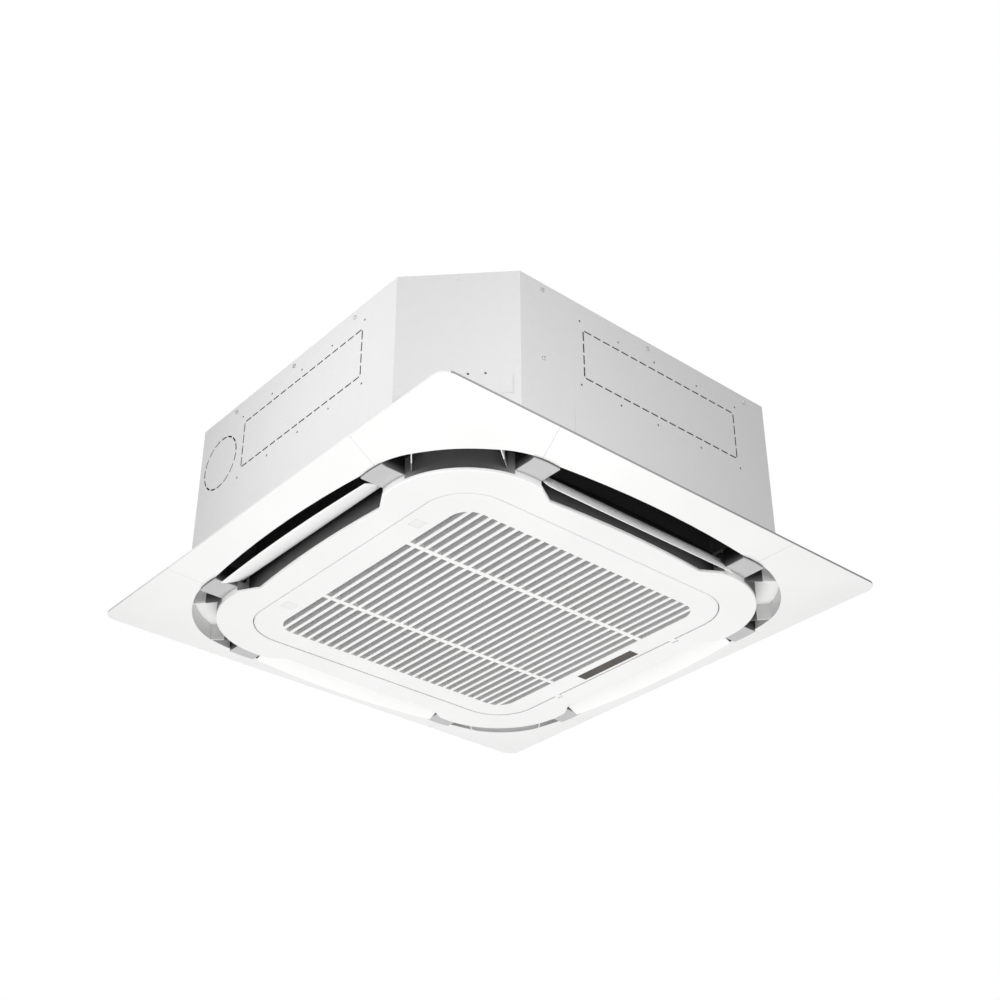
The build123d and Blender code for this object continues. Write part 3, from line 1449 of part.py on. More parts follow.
# ---------------------------------------------------------------- louvres
louvre_names = ("louvre_right", "louvre_back", "louvre_left", "louvre_front")
motor_start = divider_near + divider_wall + louvre_motor_gap
motor_pin_end = motor_start + louvre_pin_grip
bush_end = divider_near + bush_length / 2 + 1
pin_start = outlet_half - louvre_pin_root


def louvre_part(tilt):
    """The right louvre, tilted down by tilt: a thin cambered blade on two pins."""
    blade_plane = Plane(origin=(louvre_pivot, -outlet_half, louvre_height), z_dir=(0, 1, 0),
                        x_dir=(math.cos(math.radians(tilt)), 0, -math.sin(math.radians(tilt))))
    top_plane = Plane(origin=(louvre_pivot, 0, louvre_height), x_dir=blade_plane.x_dir,
                      z_dir=blade_plane.y_dir)
    middle = louvre_mid_chord / 2
    with BuildPart() as blade:
        with BuildSketch(blade_plane) as section:
            with BuildLine():
                ThreePointArc((0, louvre_nose_r), (middle, louvre_camber + louvre_belly),
                              (louvre_mid_chord, louvre_edge))
                Line((louvre_mid_chord, louvre_edge), (louvre_mid_chord, -louvre_edge))
                ThreePointArc((louvre_mid_chord, -louvre_edge),
                              (middle, louvre_camber - louvre_belly), (0, -louvre_nose_r))
                ThreePointArc((0, -louvre_nose_r), (-louvre_nose_r, 0), (0, louvre_nose_r))
            make_face()
        extrude(section.sketch, amount=2 * outlet_half)
        with BuildSketch(top_plane) as plan:
            with BuildLine():
                Polyline(
                    (louvre_end_chord, -outlet_half),
                    (-2 * louvre_nose_r, -outlet_half),
                    (-2 * louvre_nose_r, outlet_half),
                    (louvre_end_chord, outlet_half),
                )
                ThreePointArc((louvre_end_chord, outlet_half), (louvre_mid_chord, 0),
                              (louvre_end_chord, -outlet_half))
            make_face()
        extrude(plan.sketch, amount=middle, both=True, mode=Mode.INTERSECT)
        with Locations(louvre_axis(0, pin_start)):
            Cylinder(louvre_pin_r, motor_pin_end - pin_start, align=LOW)
        with Locations(louvre_axis(0, -pin_start)):
            Cylinder(louvre_pin_r, bush_end - pin_start, align=HIGH)
    return blade.part


for quarter, louvre_name in enumerate(louvre_names):
    save(louvre_part(louvre_tilts[quarter]).rotate(Axis.Z, 90 * quarter), louvre_name)

with BuildPart() as louvre_motors:
    for quarter in range(4):
        with Locations(louvre_axis(quarter, motor_start)):
            Cylinder(louvre_motor_r, louvre_motor_length, align=LOW)
            Cylinder(louvre_pin_r + pin_clearance, louvre_pin_grip + 1, align=LOW,
                     mode=Mode.SUBTRACT)
save(louvre_motors.part, "louvre_motors")

with BuildPart() as louvre_bushes:
    for quarter in range(4):
        for side in (-1, 1):
            with Locations(louvre_axis(quarter, side * (divider_near + divider_wall / 2))):
                Cylinder(bush_r, divider_wall + 2 * bush_rim)
                Cylinder(louvre_pin_r + pin_clearance, bush_length, mode=Mode.SUBTRACT)
save(louvre_bushes.part, "louvre_bushes")

# ---------------------------------------------------------------- intake grille
grille_top = inner_face + grille_height
shell_top = inner_face + grille_skin
slat_area = slat_pitch * (slat_gaps - 1) + slat_gap
latch_hole = latch_side + 2 * latch_gap
latch_top = inner_face + latch_height

with BuildSketch(Plane.XY.offset(inner_face)) as slat_lines:
    with Locations(slat_centre):
        with GridLocations(slat_pitch, slat_length, slat_gaps, 1):
            Rectangle(slat_gap, slat_length)

with BuildPart() as grille:
    extrude(rounded_square(inner_face, grille_half, grille_corner_r), amount=grille_height)
    fillet(grille.edges().group_by(Axis.Z)[0], radius=grille_edge_r)
    with BuildSketch(Plane.XY.offset(shell_top)) as shell:
        RectangleRounded(2 * (grille_half - grille_skin), 2 * (grille_half - grille_skin),
                         grille_corner_r - grille_skin)
        with Locations(slat_centre):
            RectangleRounded(slat_area + 2 * grille_skin, slat_length + 2 * grille_skin,
                             slat_corner_r + grille_skin, mode=Mode.SUBTRACT)
    extrude(shell.sketch, amount=grille_height, mode=Mode.SUBTRACT)
    with BuildSketch(Plane.XY.offset(inner_face)) as gaps:
        with Locations(slat_centre):
            RectangleRounded(slat_area, slat_length, slat_corner_r)
        add(slat_lines.sketch, mode=Mode.INTERSECT)
        for side in (-1, 1):
            with Locations((slat_centre[0], side * crossbar_place)):
                Rectangle(slat_area, crossbar_width, mode=Mode.SUBTRACT)
    extrude(gaps.sketch, amount=grille_height, mode=Mode.SUBTRACT)
    # window and latches
    with Locations((window_x, window_y, inner_face)):
        Box(window_width + fit_gap, window_length + fit_gap, 2 * grille_skin, mode=Mode.SUBTRACT)
    for place in latch_places:
        with Locations((latch_x, place, shell_top)):
            Box(latch_hole + 4 * latch_wall, latch_hole + 4 * latch_wall,
                latch_bridge + latch_wall - shell_top, align=LOW)
            Box(latch_hole + 2 * latch_wall, latch_hole + 2 * latch_wall, latch_bridge - shell_top,
                align=LOW, mode=Mode.SUBTRACT)
        with Locations((latch_x, place, inner_face)):
            Box(latch_hole, latch_hole, 2 * grille_skin, mode=Mode.SUBTRACT)
    # hinge ears with their bores
    for side in (-1, 1):
        with Locations((hinge_x, side * hinge_place, hinge_z)):
            Box(hinge_reach + hinge_ear_root, hinge_ear_width, 2 * hinge_ear_r,
                align=(Align.MAX, Align.CENTER, Align.CENTER))
        with Locations(Plane(origin=(hinge_x, side * hinge_place, hinge_z), z_dir=(0, 1, 0))):
            Cylinder(hinge_ear_r, hinge_ear_width)
            Cylinder(hinge_pin_r + pin_clearance, 2 * hinge_ear_width, mode=Mode.SUBTRACT)
save(grille.part, "grille")

with BuildPart() as display_window:
    with Locations((window_x, window_y, inner_face)):
        Box(window_width, window_length, grille_skin, align=LOW)
    fillet(display_window.edges().filter_by(Axis.Z), radius=window_corner_r)
    with Locations((window_x, window_y, shell_top)):
        Box(window_width + 4, window_length + 4, window_ledge, align=LOW)
save(display_window.part, "display_window")

board_base = shell_top + window_ledge
with BuildPart() as receiver_board:
    with Locations((window_x, window_y, board_base)):
        Box(window_width + 2, window_length - 6, board_thickness, align=LOW)
    with Locations((window_x, window_y, board_base + board_thickness)):
        with GridLocations(1, receiver_pitch, 1, receiver_parts):
            Cylinder(2.5, 2, align=LOW)
        with Locations((0, 50, 0)):
            Box(12, 8, 4, align=LOW)
save(receiver_board.part, "receiver_board")

spring_height = latch_bridge - latch_top
coil_height = spring_height - 2 * spring_wire_r
for place, side_name in zip(latch_places, ("back", "front")):
    with BuildPart() as latch_button:
        with Locations((latch_x, place, inner_face)):
            Box(latch_side, latch_side, latch_height, align=LOW)
        fillet(latch_button.edges().filter_by(Axis.Z), radius=latch_corner_r)
        with Locations((latch_x, place, shell_top + latch_play)):
            Box(latch_hole + 2 * latch_lip, latch_hole + 2 * latch_lip, latch_flange, align=LOW)
    save(latch_button.part, "latch_button_" + side_name)
    with BuildPart() as latch_spring:
        with BuildLine() as turns:
            Helix(coil_height / spring_turns, coil_height, spring_r,
                  center=(latch_x, place, latch_top + spring_wire_r))
        with BuildSketch(Plane(origin=turns.line @ 0, z_dir=turns.line % 0)):
            Circle(spring_wire_r)
        sweep(path=turns.line, is_frenet=True)
    save(latch_spring.part, "latch_spring_" + side_name)

# ---------------------------------------------------------------- filter
filter_width = slat_area + 2 * filter_margin
filter_length = slat_length + 2 * filter_margin
filter_corner = slat_corner_r + filter_margin
border_lap = filter_border - filter_net_lap

with BuildSketch(Plane.XY.offset(grille_top + filter_height / 2)) as net_seat:
    with Locations(slat_centre):
        RectangleRounded(filter_width - 2 * border_lap, filter_length - 2 * border_lap,
                         filter_corner - border_lap)

with BuildPart() as filter_frame:
    with BuildSketch(Plane.XY.offset(grille_top)) as filter_outline:
        with Locations(slat_centre):
            RectangleRounded(filter_width, filter_length, filter_corner)
            RectangleRounded(filter_width - 2 * filter_border, filter_length - 2 * filter_border,
                             filter_corner - filter_border, mode=Mode.SUBTRACT)
            with GridLocations(filter_width / 4, 1, 3, 1):
                Rectangle(filter_bar, filter_length - filter_border)
            with GridLocations(1, filter_length / 3, 1, 2):
                Rectangle(filter_width - filter_border, filter_bar)
    extrude(filter_outline.sketch, amount=filter_height)
    extrude(net_seat.sketch, amount=filter_net, mode=Mode.SUBTRACT)
save(filter_frame.part, "filter_frame")

with BuildPart() as filter_net_part:
    extrude(net_seat.sketch, amount=filter_net)
save(filter_net_part.part, "filter_net")
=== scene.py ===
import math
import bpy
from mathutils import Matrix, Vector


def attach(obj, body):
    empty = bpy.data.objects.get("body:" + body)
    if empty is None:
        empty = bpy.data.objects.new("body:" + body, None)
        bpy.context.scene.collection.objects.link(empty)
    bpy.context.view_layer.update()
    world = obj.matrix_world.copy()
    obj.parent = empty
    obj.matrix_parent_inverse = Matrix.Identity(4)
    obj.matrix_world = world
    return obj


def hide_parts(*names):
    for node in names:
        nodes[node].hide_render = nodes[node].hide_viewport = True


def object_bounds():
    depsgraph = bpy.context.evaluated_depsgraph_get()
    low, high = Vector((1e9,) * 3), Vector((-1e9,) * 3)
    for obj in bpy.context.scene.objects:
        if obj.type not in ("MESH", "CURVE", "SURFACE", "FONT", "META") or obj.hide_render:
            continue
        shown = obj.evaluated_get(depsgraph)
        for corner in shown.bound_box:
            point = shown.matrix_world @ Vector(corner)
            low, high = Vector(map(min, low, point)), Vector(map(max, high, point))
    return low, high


bl_info = {
    "name": "Ceiling Cassette Air Conditioner",
    "version": (1, 0, 0),
    "blender": (4, 5, 0),
    "location": "View3D > Sidebar > Cassette",
    "description": "Finishes, screws and studio for a four-way ceiling cassette air conditioner",
    "category": "Object",
}

import bmesh
import bpy
from bpy.props import FloatProperty, FloatVectorProperty, IntProperty, PointerProperty
from mathutils import Matrix, Vector

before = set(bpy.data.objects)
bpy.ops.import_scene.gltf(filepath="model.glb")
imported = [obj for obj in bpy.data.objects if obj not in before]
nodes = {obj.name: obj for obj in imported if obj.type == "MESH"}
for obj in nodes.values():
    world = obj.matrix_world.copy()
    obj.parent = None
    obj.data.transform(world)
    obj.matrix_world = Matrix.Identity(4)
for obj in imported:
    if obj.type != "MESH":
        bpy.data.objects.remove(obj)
cad_low, cad_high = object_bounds()

# The camera is measured: it stands below the ceiling and looks up at the near corner.
camera_place = (-1.571, -1.867, -1.382)
camera_turn = (122.12, 0.12, -40.64)
camera_lens = 57.75
camera_sensor = 36.0

# Where the panel's parts lie, in metres from its middle or in height. The painted shade
# and painted light on the panel and the air guide follow these places.
rim_edge = 0.4735
ring_inner = 0.335
ring_outer = 0.4275
slot_end = 0.2535
slot_middle_end = 0.198
divider_start = 0.2515
divider_end = 0.2840
divider_height = -0.077
divider_margin = 0.0008
lip_centre = 0.2217
lip_radius = 0.186
wall_bottom = -0.0775
wall_shaded = -0.0745
roof_bottom = -0.060
shade_bottom = -0.078
shade_top = -0.062
guide_bottom = -0.080
guide_shaded = -0.066
guide_corner = 0.2
guide_corner_light = 0.245
guide_corner_dark = 0.305


def colour(label, description, red, green, blue):
    """A colour property, in linear light."""
    return FloatVectorProperty(
        name=label,
        description=description,
        subtype="COLOR",
        size=3,
        min=0.0,
        max=1.0,
        default=(red, green, blue),
    )


def length(label, description, metres):
    """A size property in metres."""
    return FloatProperty(
        name=label,
        description=description,
        default=metres,
        min=0.0,
        precision=5,
        unit="LENGTH",
    )


class CassetteColours(bpy.types.PropertyGroup):
    """Colours of the cassette's finishes."""

    panel: colour("Panel", "Moulded white of the panel, grille and louvres", 0.88, 0.88, 0.875)
    casing: colour("Casing", "Coated steel of the casing", 0.76, 0.76, 0.76)
    zinc: colour("Zinc", "Galvanised brackets, plates and screws", 0.56, 0.57, 0.58)
    guide: colour("Air guide", "Dark moulding inside the outlets", 0.05, 0.05, 0.052)
    bead_foam: colour("Bead foam", "Charcoal bead foam of the liner and drain pan", 0.10, 0.10, 0.103)
    seal: colour("Seal", "Soft foam strip above the panel", 0.045, 0.045, 0.048)
    fan: colour("Fan", "Moulded fan, bell mouth and pump", 0.62, 0.63, 0.64)
    rubber: colour("Rubber", "Grommet and motor dampers", 0.025, 0.025, 0.026)
    hose: colour("Hose", "Drain hose and outlet", 0.42, 0.43, 0.44)
    motor: colour("Motor", "Painted motor case", 0.30, 0.31, 0.32)
    fin: colour("Fin", "Coated aluminium fins", 0.72, 0.75, 0.78)
    copper: colour("Copper", "Coil tubes and pipe ends", 0.72, 0.34, 0.20)
    brass: colour("Brass", "Flare unions", 0.72, 0.52, 0.25)
    window: colour("Window", "Smoked receiver window", 0.062, 0.052, 0.044)
    board: colour("Board", "Solder mask of the circuit boards", 0.02, 0.17, 0.07)
    net: colour("Net", "Filter net and its frame", 0.20, 0.205, 0.21)
    spring: colour("Spring", "Latch springs", 0.62, 0.62, 0.63)


class CassetteTextures(bpy.types.PropertyGroup):
    """Sizes of the patterns in the finishes."""

    moulded_grain: length("Moulded grain", "Grain of the moulded plastics", 0.0007)
    spangle: length("Spangle", "Width of a zinc crystal", 0.011)
    bead: length("Bead", "Width of a bead in the bead foam", 0.0042)
    pore: length("Pore", "Width of a pore in the soft foam", 0.0012)
    fin_pitch: length("Fin pitch", "Distance from fin to fin", 0.0016)
    net_pitch: length("Net pitch", "Distance from strand to strand of the filter net", 0.0014)
    brushing: length("Brushing", "Width of a brush mark on turned metal", 0.0003)


class CassetteScrews(bpy.types.PropertyGroup):
    """Sizes of the pan head screws."""

    head: length("Head", "Radius of the head", 0.0042)
    rise: length("Rise", "Height of the head", 0.002)
    shank: length("Shank", "Radius of the shank", 0.002)
    recess: length("Recess", "Width of a slot of the cross recess", 0.0011)
    depth: length("Depth", "Depth of the cross recess", 0.0012)
    sides: IntProperty(
        name="Sides",
        description="Faces round the head",
        default=28,
        min=8,
        max=64,
    )


class CassetteStudio(bpy.types.PropertyGroup):
    """Floor and lamps."""

    floor: colour("Floor", "Pale floor of the room", 0.80, 0.80, 0.80)
    floor_drop: length("Floor drop", "Height of the panel above the floor", 2.6)
    floor_side: length("Floor side", "Side of the floor", 24.0)
    world: FloatProperty(name="World", description="Soft light from all round", default=0.46, min=0.0)
    key: FloatProperty(
        name="Key", description="Power of the lamp beside the camera", default=2.9, min=0.0, unit="POWER"
    )
    side: FloatProperty(
        name="Side", description="Power of the lamp before the front wall", default=3.6, min=0.0, unit="POWER"
    )
    fill: FloatProperty(
        name="Fill", description="Power of the lamp under the panel", default=34.5, min=0.0, unit="POWER"
    )
    back: FloatProperty(
        name="Back", description="Power of the lamp above the casing", default=55.0, min=0.0, unit="POWER"
    )


def dimmed(tone, share):
    """The same colour, darker or lighter."""
    return tuple(min(1.0, channel * share) for channel in tone)


class Finish:
    """One material: a shader, and the patterns on Object coordinates that vary it."""

    def __init__(self, name, tone, roughness, metallic=0.0):
        self.material = bpy.data.materials.new(name)
        self.material.use_nodes = True
        self.nodes = self.material.node_tree.nodes
        self.links = self.material.node_tree.links
        self.shader = next(n for n in self.nodes if n.type == "BSDF_PRINCIPLED")
        self.set(**{"Base Color": (*tone, 1.0), "Roughness": roughness, "Metallic": metallic})
        self.place = self.nodes.new("ShaderNodeTexCoord").outputs["Object"]
        self.height = None

    def set(self, **values):
        """Sets sockets of the shader to plain values."""
        for socket, value in values.items():
            self.shader.inputs[socket].default_value = value

    def node(self, kind, **settings):
        """A new node of a kind, with its settings."""
        made = self.nodes.new(kind)
        for name, value in settings.items():
            setattr(made, name, value)
        return made

    def placed(self, stretch=(1.0, 1.0, 1.0), turn=(0.0, 0.0, 0.0)):
        """Object coordinates, stretched or turned."""
        mapping = self.node("ShaderNodeMapping")
        mapping.inputs["Scale"].default_value = stretch
        mapping.inputs["Rotation"].default_value = turn
        self.links.new(self.place, mapping.inputs["Vector"])
        return mapping.outputs["Vector"]

    def clouds(self, size, detail=2.0, stretch=(1.0, 1.0, 1.0)):
        """Soft blotches of a size."""
        noise = self.node("ShaderNodeTexNoise")
        noise.inputs["Scale"].default_value = 1.0 / size
        noise.inputs["Detail"].default_value = detail
        self.links.new(self.placed(stretch), noise.inputs["Vector"])
        return noise.outputs["Fac"]

    def cells(self, size, output="Color", feature="F1"):
        """Cells of a size: a tone for each, or the distance to its middle or its edge."""
        voronoi = self.node("ShaderNodeTexVoronoi", feature=feature)
        voronoi.inputs["Scale"].default_value = 1.0 / size
        self.links.new(self.place, voronoi.inputs["Vector"])
        return voronoi.outputs[output]

    def lines(self, pitch, direction):
        """Even lines across one axis."""
        wave = self.node("ShaderNodeTexWave", bands_direction=direction)
        wave.inputs["Scale"].default_value = 2.0 * math.pi / (20.0 * pitch)
        self.links.new(self.place, wave.inputs["Vector"])
        return wave.outputs["Fac"]

    def maths(self, operation, first, second=None):
        """A sum of two patterns, or of a pattern and a number."""
        sum_node = self.node("ShaderNodeMath", operation=operation)
        for socket, value in zip(sum_node.inputs, (first, second)):
            if isinstance(value, float):
                socket.default_value = value
            elif value is not None:
                self.links.new(value, socket)
        return sum_node.outputs["Value"]

    def axis(self, name):
        """One of the Object coordinates."""
        split = self.node("ShaderNodeSeparateXYZ")
        self.links.new(self.place, split.inputs["Vector"])
        return split.outputs[name]

    def from_middle(self):
        """The distances from the object's middle along X and along Y."""
        return [self.maths("ABSOLUTE", self.axis(name)) for name in ("X", "Y")]

    def upright(self):
        """A mask of the faces that stand upright."""
        outwards = self.node("ShaderNodeNewGeometry").outputs["True Normal"]
        split = self.node("ShaderNodeSeparateXYZ")
        self.links.new(outwards, split.inputs["Vector"])
        return self.maths("LESS_THAN", self.maths("ABSOLUTE", split.outputs["Z"]), 0.5)

    def between(self, pattern, low, high):
        """A mask of where a pattern lies between two values."""
        above = self.maths("GREATER_THAN", pattern, low)
        return self.maths("MULTIPLY", above, self.maths("LESS_THAN", pattern, high))

    def mottle(self, size, low, high):
        """Soft blotches of grey between two values."""
        return self.rise(self.clouds(size), 0.0, 1.0, low, high)

    def tones(self, pattern, *stops):
        """Colours the surface by a pattern, with stops of a place and a colour."""
        ramp = self.node("ShaderNodeValToRGB")
        elements = ramp.color_ramp.elements
        while len(elements) < len(stops):
            elements.new(0.5)
        for element, (position, tone) in zip(elements, stops):
            element.position = position
            element.color = (*tone, 1.0)
        self.links.new(pattern, ramp.inputs["Fac"])
        self.links.new(ramp.outputs["Color"], self.shader.inputs["Base Color"])
        return self

    def shade(self, mask, pattern):
        """Mixes a pattern of grey into the base colour where a mask is on: painted shade, and painted light
        where the grey is lighter.
        """
        base = self.shader.inputs["Base Color"]
        mix = self.node("ShaderNodeMix", data_type="RGBA")
        self.links.new(mask, mix.inputs["Factor"])
        self.links.new(base.links[0].from_socket, mix.inputs[6])
        self.links.new(pattern, mix.inputs[7])
        self.links.new(mix.outputs[2], base)
        return self

    def rise(self, pattern, start, end, low=0.0, high=1.0):
        """A pattern stretched from one range of values to another."""
        spread = self.node("ShaderNodeMapRange")
        for socket, value in zip(("From Min", "From Max", "To Min", "To Max"), (start, end, low, high)):
            spread.inputs[socket].default_value = value
        self.links.new(pattern, spread.inputs["Value"])
        return spread.outputs["Result"]

    def gloss(self, pattern, low, high):
        """Varies the roughness by a pattern."""
        spread = self.node("ShaderNodeMapRange")
        spread.inputs["To Min"].default_value = low
        spread.inputs["To Max"].default_value = high
        self.links.new(pattern, spread.inputs["Value"])
        self.links.new(spread.outputs["Result"], self.shader.inputs["Roughness"])
        return self

    def relief(self, pattern, depth, strength=1.0):
        """Adds a bump of a depth on top of what is there."""
        bump = self.node("ShaderNodeBump")
        bump.inputs["Distance"].default_value = depth
        bump.inputs["Strength"].default_value = strength
        self.links.new(pattern, bump.inputs["Height"])
        if self.height:
            self.links.new(self.height, bump.inputs["Normal"])
        self.height = bump.outputs["Normal"]
        self.links.new(self.height, self.shader.inputs["Normal"])
        return self


def moulded_plastic(name, tone, roughness=0.42):
    """Moulded plastic: a fine even grain, soft changes of tone and a satin gloss."""
    sizes = bpy.context.scene.cassette_textures
    finish = Finish(name, tone, roughness)
    finish.tones(finish.clouds(0.16, 3.0), (0.3, dimmed(tone, 0.965)), (0.7, tone))
    finish.gloss(finish.clouds(0.014), roughness - 0.06, roughness + 0.08)
    finish.relief(finish.clouds(sizes.moulded_grain, 3.0), 0.00003)
    return finish


def rim_shade(finish):
    """Paints shade on the thin upright edge at the panel's front and back, which the lamps catch less."""
    across, along = finish.from_middle()
    edge = finish.maths("GREATER_THAN", along, rim_edge)
    return finish.shade(finish.maths("MULTIPLY", finish.upright(), edge), finish.mottle(0.05, 0.30, 0.34))


def outlet_shade(finish):
    """Paints shade on the panel's walls, ribs and roofs inside the ring of air outlets, and on the divider
    plates.
    """
    across, along = finish.from_middle()
    height = finish.axis("Z")
    far = finish.maths("MAXIMUM", across, along)
    near = finish.maths("MINIMUM", across, along)
    ring = finish.between(far, ring_inner, ring_outer)
    in_slot = finish.maths("LESS_THAN", near, slot_end)
    by_divider = finish.between(near, divider_start, divider_end)
    past_x = finish.maths("POWER", finish.maths("SUBTRACT", far, lip_centre), 2.0)
    past_y = finish.maths("POWER", finish.maths("SUBTRACT", near, lip_centre), 2.0)
    inside_lip = finish.maths("LESS_THAN", finish.maths("ADD", past_x, past_y), lip_radius ** 2)
    upright_in_slot = finish.maths("MULTIPLY", finish.upright(), in_slot)
    walls = finish.maths("MULTIPLY", upright_in_slot, finish.rise(height, wall_bottom, wall_shaded))
    beside = finish.maths("MULTIPLY", by_divider, inside_lip)
    gaps = finish.maths("MULTIPLY", beside, finish.maths("GREATER_THAN", height, wall_bottom))
    roofs = finish.maths("MULTIPLY", in_slot, finish.maths("GREATER_THAN", height, roof_bottom))
    parts = finish.maths("MAXIMUM", finish.maths("MAXIMUM", walls, roofs), gaps)
    # Painted shade, darker the higher it lies in the channel.
    dark = finish.rise(height, shade_bottom, shade_top, 0.2, 0.02)
    finish.shade(finish.maths("MULTIPLY", parts, ring), dark)
    # Painted shade on the divider plates' undersides at the ends of the slots.
    off_plate = finish.maths("ABSOLUTE", finish.maths("SUBTRACT", height, divider_height))
    on_plate = finish.maths("LESS_THAN", off_plate, divider_margin)
    plates = finish.maths("MULTIPLY", finish.maths("MULTIPLY", in_slot, ring), on_plate)
    ends = finish.maths("MULTIPLY", plates, finish.maths("GREATER_THAN", near, slot_middle_end))
    return finish.shade(ends, finish.mottle(0.05, 0.50, 0.55))


def guide_shade(finish):
    """Paints shade on the air guide with depth inside the slots, and paints light on it towards the corners.
    """
    across, along = finish.from_middle()
    near = finish.maths("MINIMUM", across, along)
    # Painted shade, darker higher up inside the slots.
    depth = finish.rise(finish.axis("Z"), guide_bottom, guide_shaded)
    in_slot = finish.maths("LESS_THAN", near, guide_corner)
    finish.shade(finish.maths("MULTIPLY", depth, in_slot), finish.mottle(0.02, 0.012, 0.02))
    # Painted light on the corner channels, lighter towards their ends beside the dividers.
    in_corner = finish.maths("GREATER_THAN", near, guide_corner)
    fading = finish.rise(near, guide_corner_dark, guide_corner_light)
    light = finish.rise(near, guide_corner_dark, guide_corner_light, 0.05, 0.3)
    return finish.shade(finish.maths("MULTIPLY", in_corner, fading), light)


def coated_steel(name, tone):
    """Coated steel sheet: crystals under the coat, roll marks and a faint orange peel."""
    sizes = bpy.context.scene.cassette_textures
    finish = Finish(name, tone, 0.5)
    finish.set(**{"Specular IOR Level": 0.35})
    finish.tones(finish.cells(sizes.spangle), (0.0, dimmed(tone, 0.988)), (1.0, dimmed(tone, 1.006)))
    finish.gloss(finish.clouds(0.02, 3.0, (1.0, 1.0, 0.2)), 0.42, 0.58)
    finish.relief(finish.clouds(0.0022, 2.0), 0.00002)
    return finish


def galvanised_steel(name, tone):
    """Bare zinc: bright and dull crystals, with grey bloom."""
    sizes = bpy.context.scene.cassette_textures
    finish = Finish(name, tone, 0.4, 0.9)
    crystal = finish.cells(sizes.spangle)
    finish.tones(crystal, (0.1, dimmed(tone, 0.78)), (0.5, tone), (0.9, dimmed(tone, 1.2)))
    finish.gloss(finish.clouds(0.006, 3.0), 0.3, 0.55)
    finish.relief(finish.cells(sizes.spangle, "Distance"), 0.00003)
    return finish


def bead_foam(name, tone):
    """Steamed bead foam: packed beads with dimples between them, and painted shade in the dimples."""
    sizes = bpy.context.scene.cassette_textures
    finish = Finish(name, tone, 0.75)
    seam = finish.cells(sizes.bead, "Distance", "DISTANCE_TO_EDGE")
    finish.tones(seam, (0.0, dimmed(tone, 0.84)), (0.09, tone))
    finish.gloss(finish.cells(sizes.bead), 0.62, 0.85)
    finish.relief(seam, 0.0006, 0.7)
    return finish


def pored_foam(name, tone):
    """Soft sealing foam: open pores with painted shade in them, dull and dark."""
    sizes = bpy.context.scene.cassette_textures
    finish = Finish(name, tone, 0.95)
    pores = finish.cells(sizes.pore, "Distance")
    finish.tones(pores, (0.1, dimmed(tone, 0.35)), (0.5, dimmed(tone, 1.5)))
    finish.gloss(finish.clouds(0.01), 0.85, 1.0)
    finish.relief(pores, 0.0006)
    return finish


def rubber(name, tone):
    """Moulded rubber: dull, with a bloom of dust."""
    finish = Finish(name, tone, 0.7)
    finish.tones(finish.clouds(0.012, 4.0), (0.35, tone), (0.75, dimmed(tone, 2.2)))
    finish.gloss(finish.clouds(0.004), 0.6, 0.82)
    finish.relief(finish.clouds(0.0009, 3.0), 0.00005)
    return finish


def ribbed_hose(name, tone):
    """Flexible drain hose: soft plastic with fine rings."""
    finish = Finish(name, tone, 0.45)
    finish.tones(finish.clouds(0.02, 3.0), (0.3, dimmed(tone, 0.85)), (0.7, tone))
    finish.gloss(finish.clouds(0.008), 0.35, 0.55)
    finish.relief(finish.clouds(0.0012, 2.0), 0.00005)
    return finish


def motor_paint(name, tone):
    """Baked motor paint: satin, slightly pebbled."""
    finish = Finish(name, tone, 0.38)
    finish.tones(finish.clouds(0.04, 3.0), (0.3, dimmed(tone, 0.9)), (0.7, tone))
    finish.gloss(finish.clouds(0.01), 0.3, 0.46)
    finish.relief(finish.clouds(0.0014, 2.0), 0.00006)
    return finish


def fin_pack(name, tone):
    """Pack of thin fins, along whichever way it runs: painted highlights on fin edges, painted shade in the
    slots.
    """
    sizes = bpy.context.scene.cassette_textures
    finish = Finish(name, tone, 0.35, 0.8)
    across, along = finish.from_middle()
    on_side = finish.maths("GREATER_THAN", across, along)
    side_fins = finish.maths("MULTIPLY", finish.lines(sizes.fin_pitch, "Y"), on_side)
    off_side = finish.maths("SUBTRACT", 1.0, on_side)
    other_fins = finish.maths("MULTIPLY", finish.lines(sizes.fin_pitch, "X"), off_side)
    fins = finish.maths("ADD", side_fins, other_fins)
    finish.tones(fins, (0.25, dimmed(tone, 0.18)), (0.6, tone), (1.0, dimmed(tone, 1.1)))
    finish.gloss(finish.clouds(0.02), 0.28, 0.45)
    finish.relief(fins, 0.0009)
    return finish


def drawn_copper(name, tone):
    """Drawn copper tube: draw marks along it, with brown tarnish."""
    finish = Finish(name, tone, 0.28, 1.0)
    tarnish = finish.clouds(0.018, 5.0)
    finish.tones(tarnish, (0.3, dimmed(tone, 0.45)), (0.55, tone), (0.85, dimmed(tone, 1.15)))
    finish.gloss(finish.clouds(0.006, 3.0), 0.2, 0.45)
    finish.relief(finish.clouds(0.0008, 2.0), 0.00002)
    return finish


def turned_brass(name, tone):
    """Turned brass: fine tool rings and a warm film."""
    sizes = bpy.context.scene.cassette_textures
    finish = Finish(name, tone, 0.24, 1.0)
    finish.tones(finish.clouds(0.01, 4.0), (0.3, dimmed(tone, 0.75)), (0.7, tone))
    finish.gloss(finish.clouds(0.003), 0.16, 0.36)
    finish.relief(finish.clouds(sizes.brushing, 1.0), 0.00001)
    return finish


def spring_wire(name, tone):
    """Bright spring wire, with drawing marks."""
    sizes = bpy.context.scene.cassette_textures
    finish = Finish(name, tone, 0.25, 1.0)
    finish.tones(finish.clouds(0.002, 2.0), (0.3, dimmed(tone, 0.8)), (0.7, tone))
    finish.gloss(finish.clouds(0.001), 0.18, 0.35)
    finish.relief(finish.clouds(sizes.brushing, 1.0), 0.00001)
    return finish


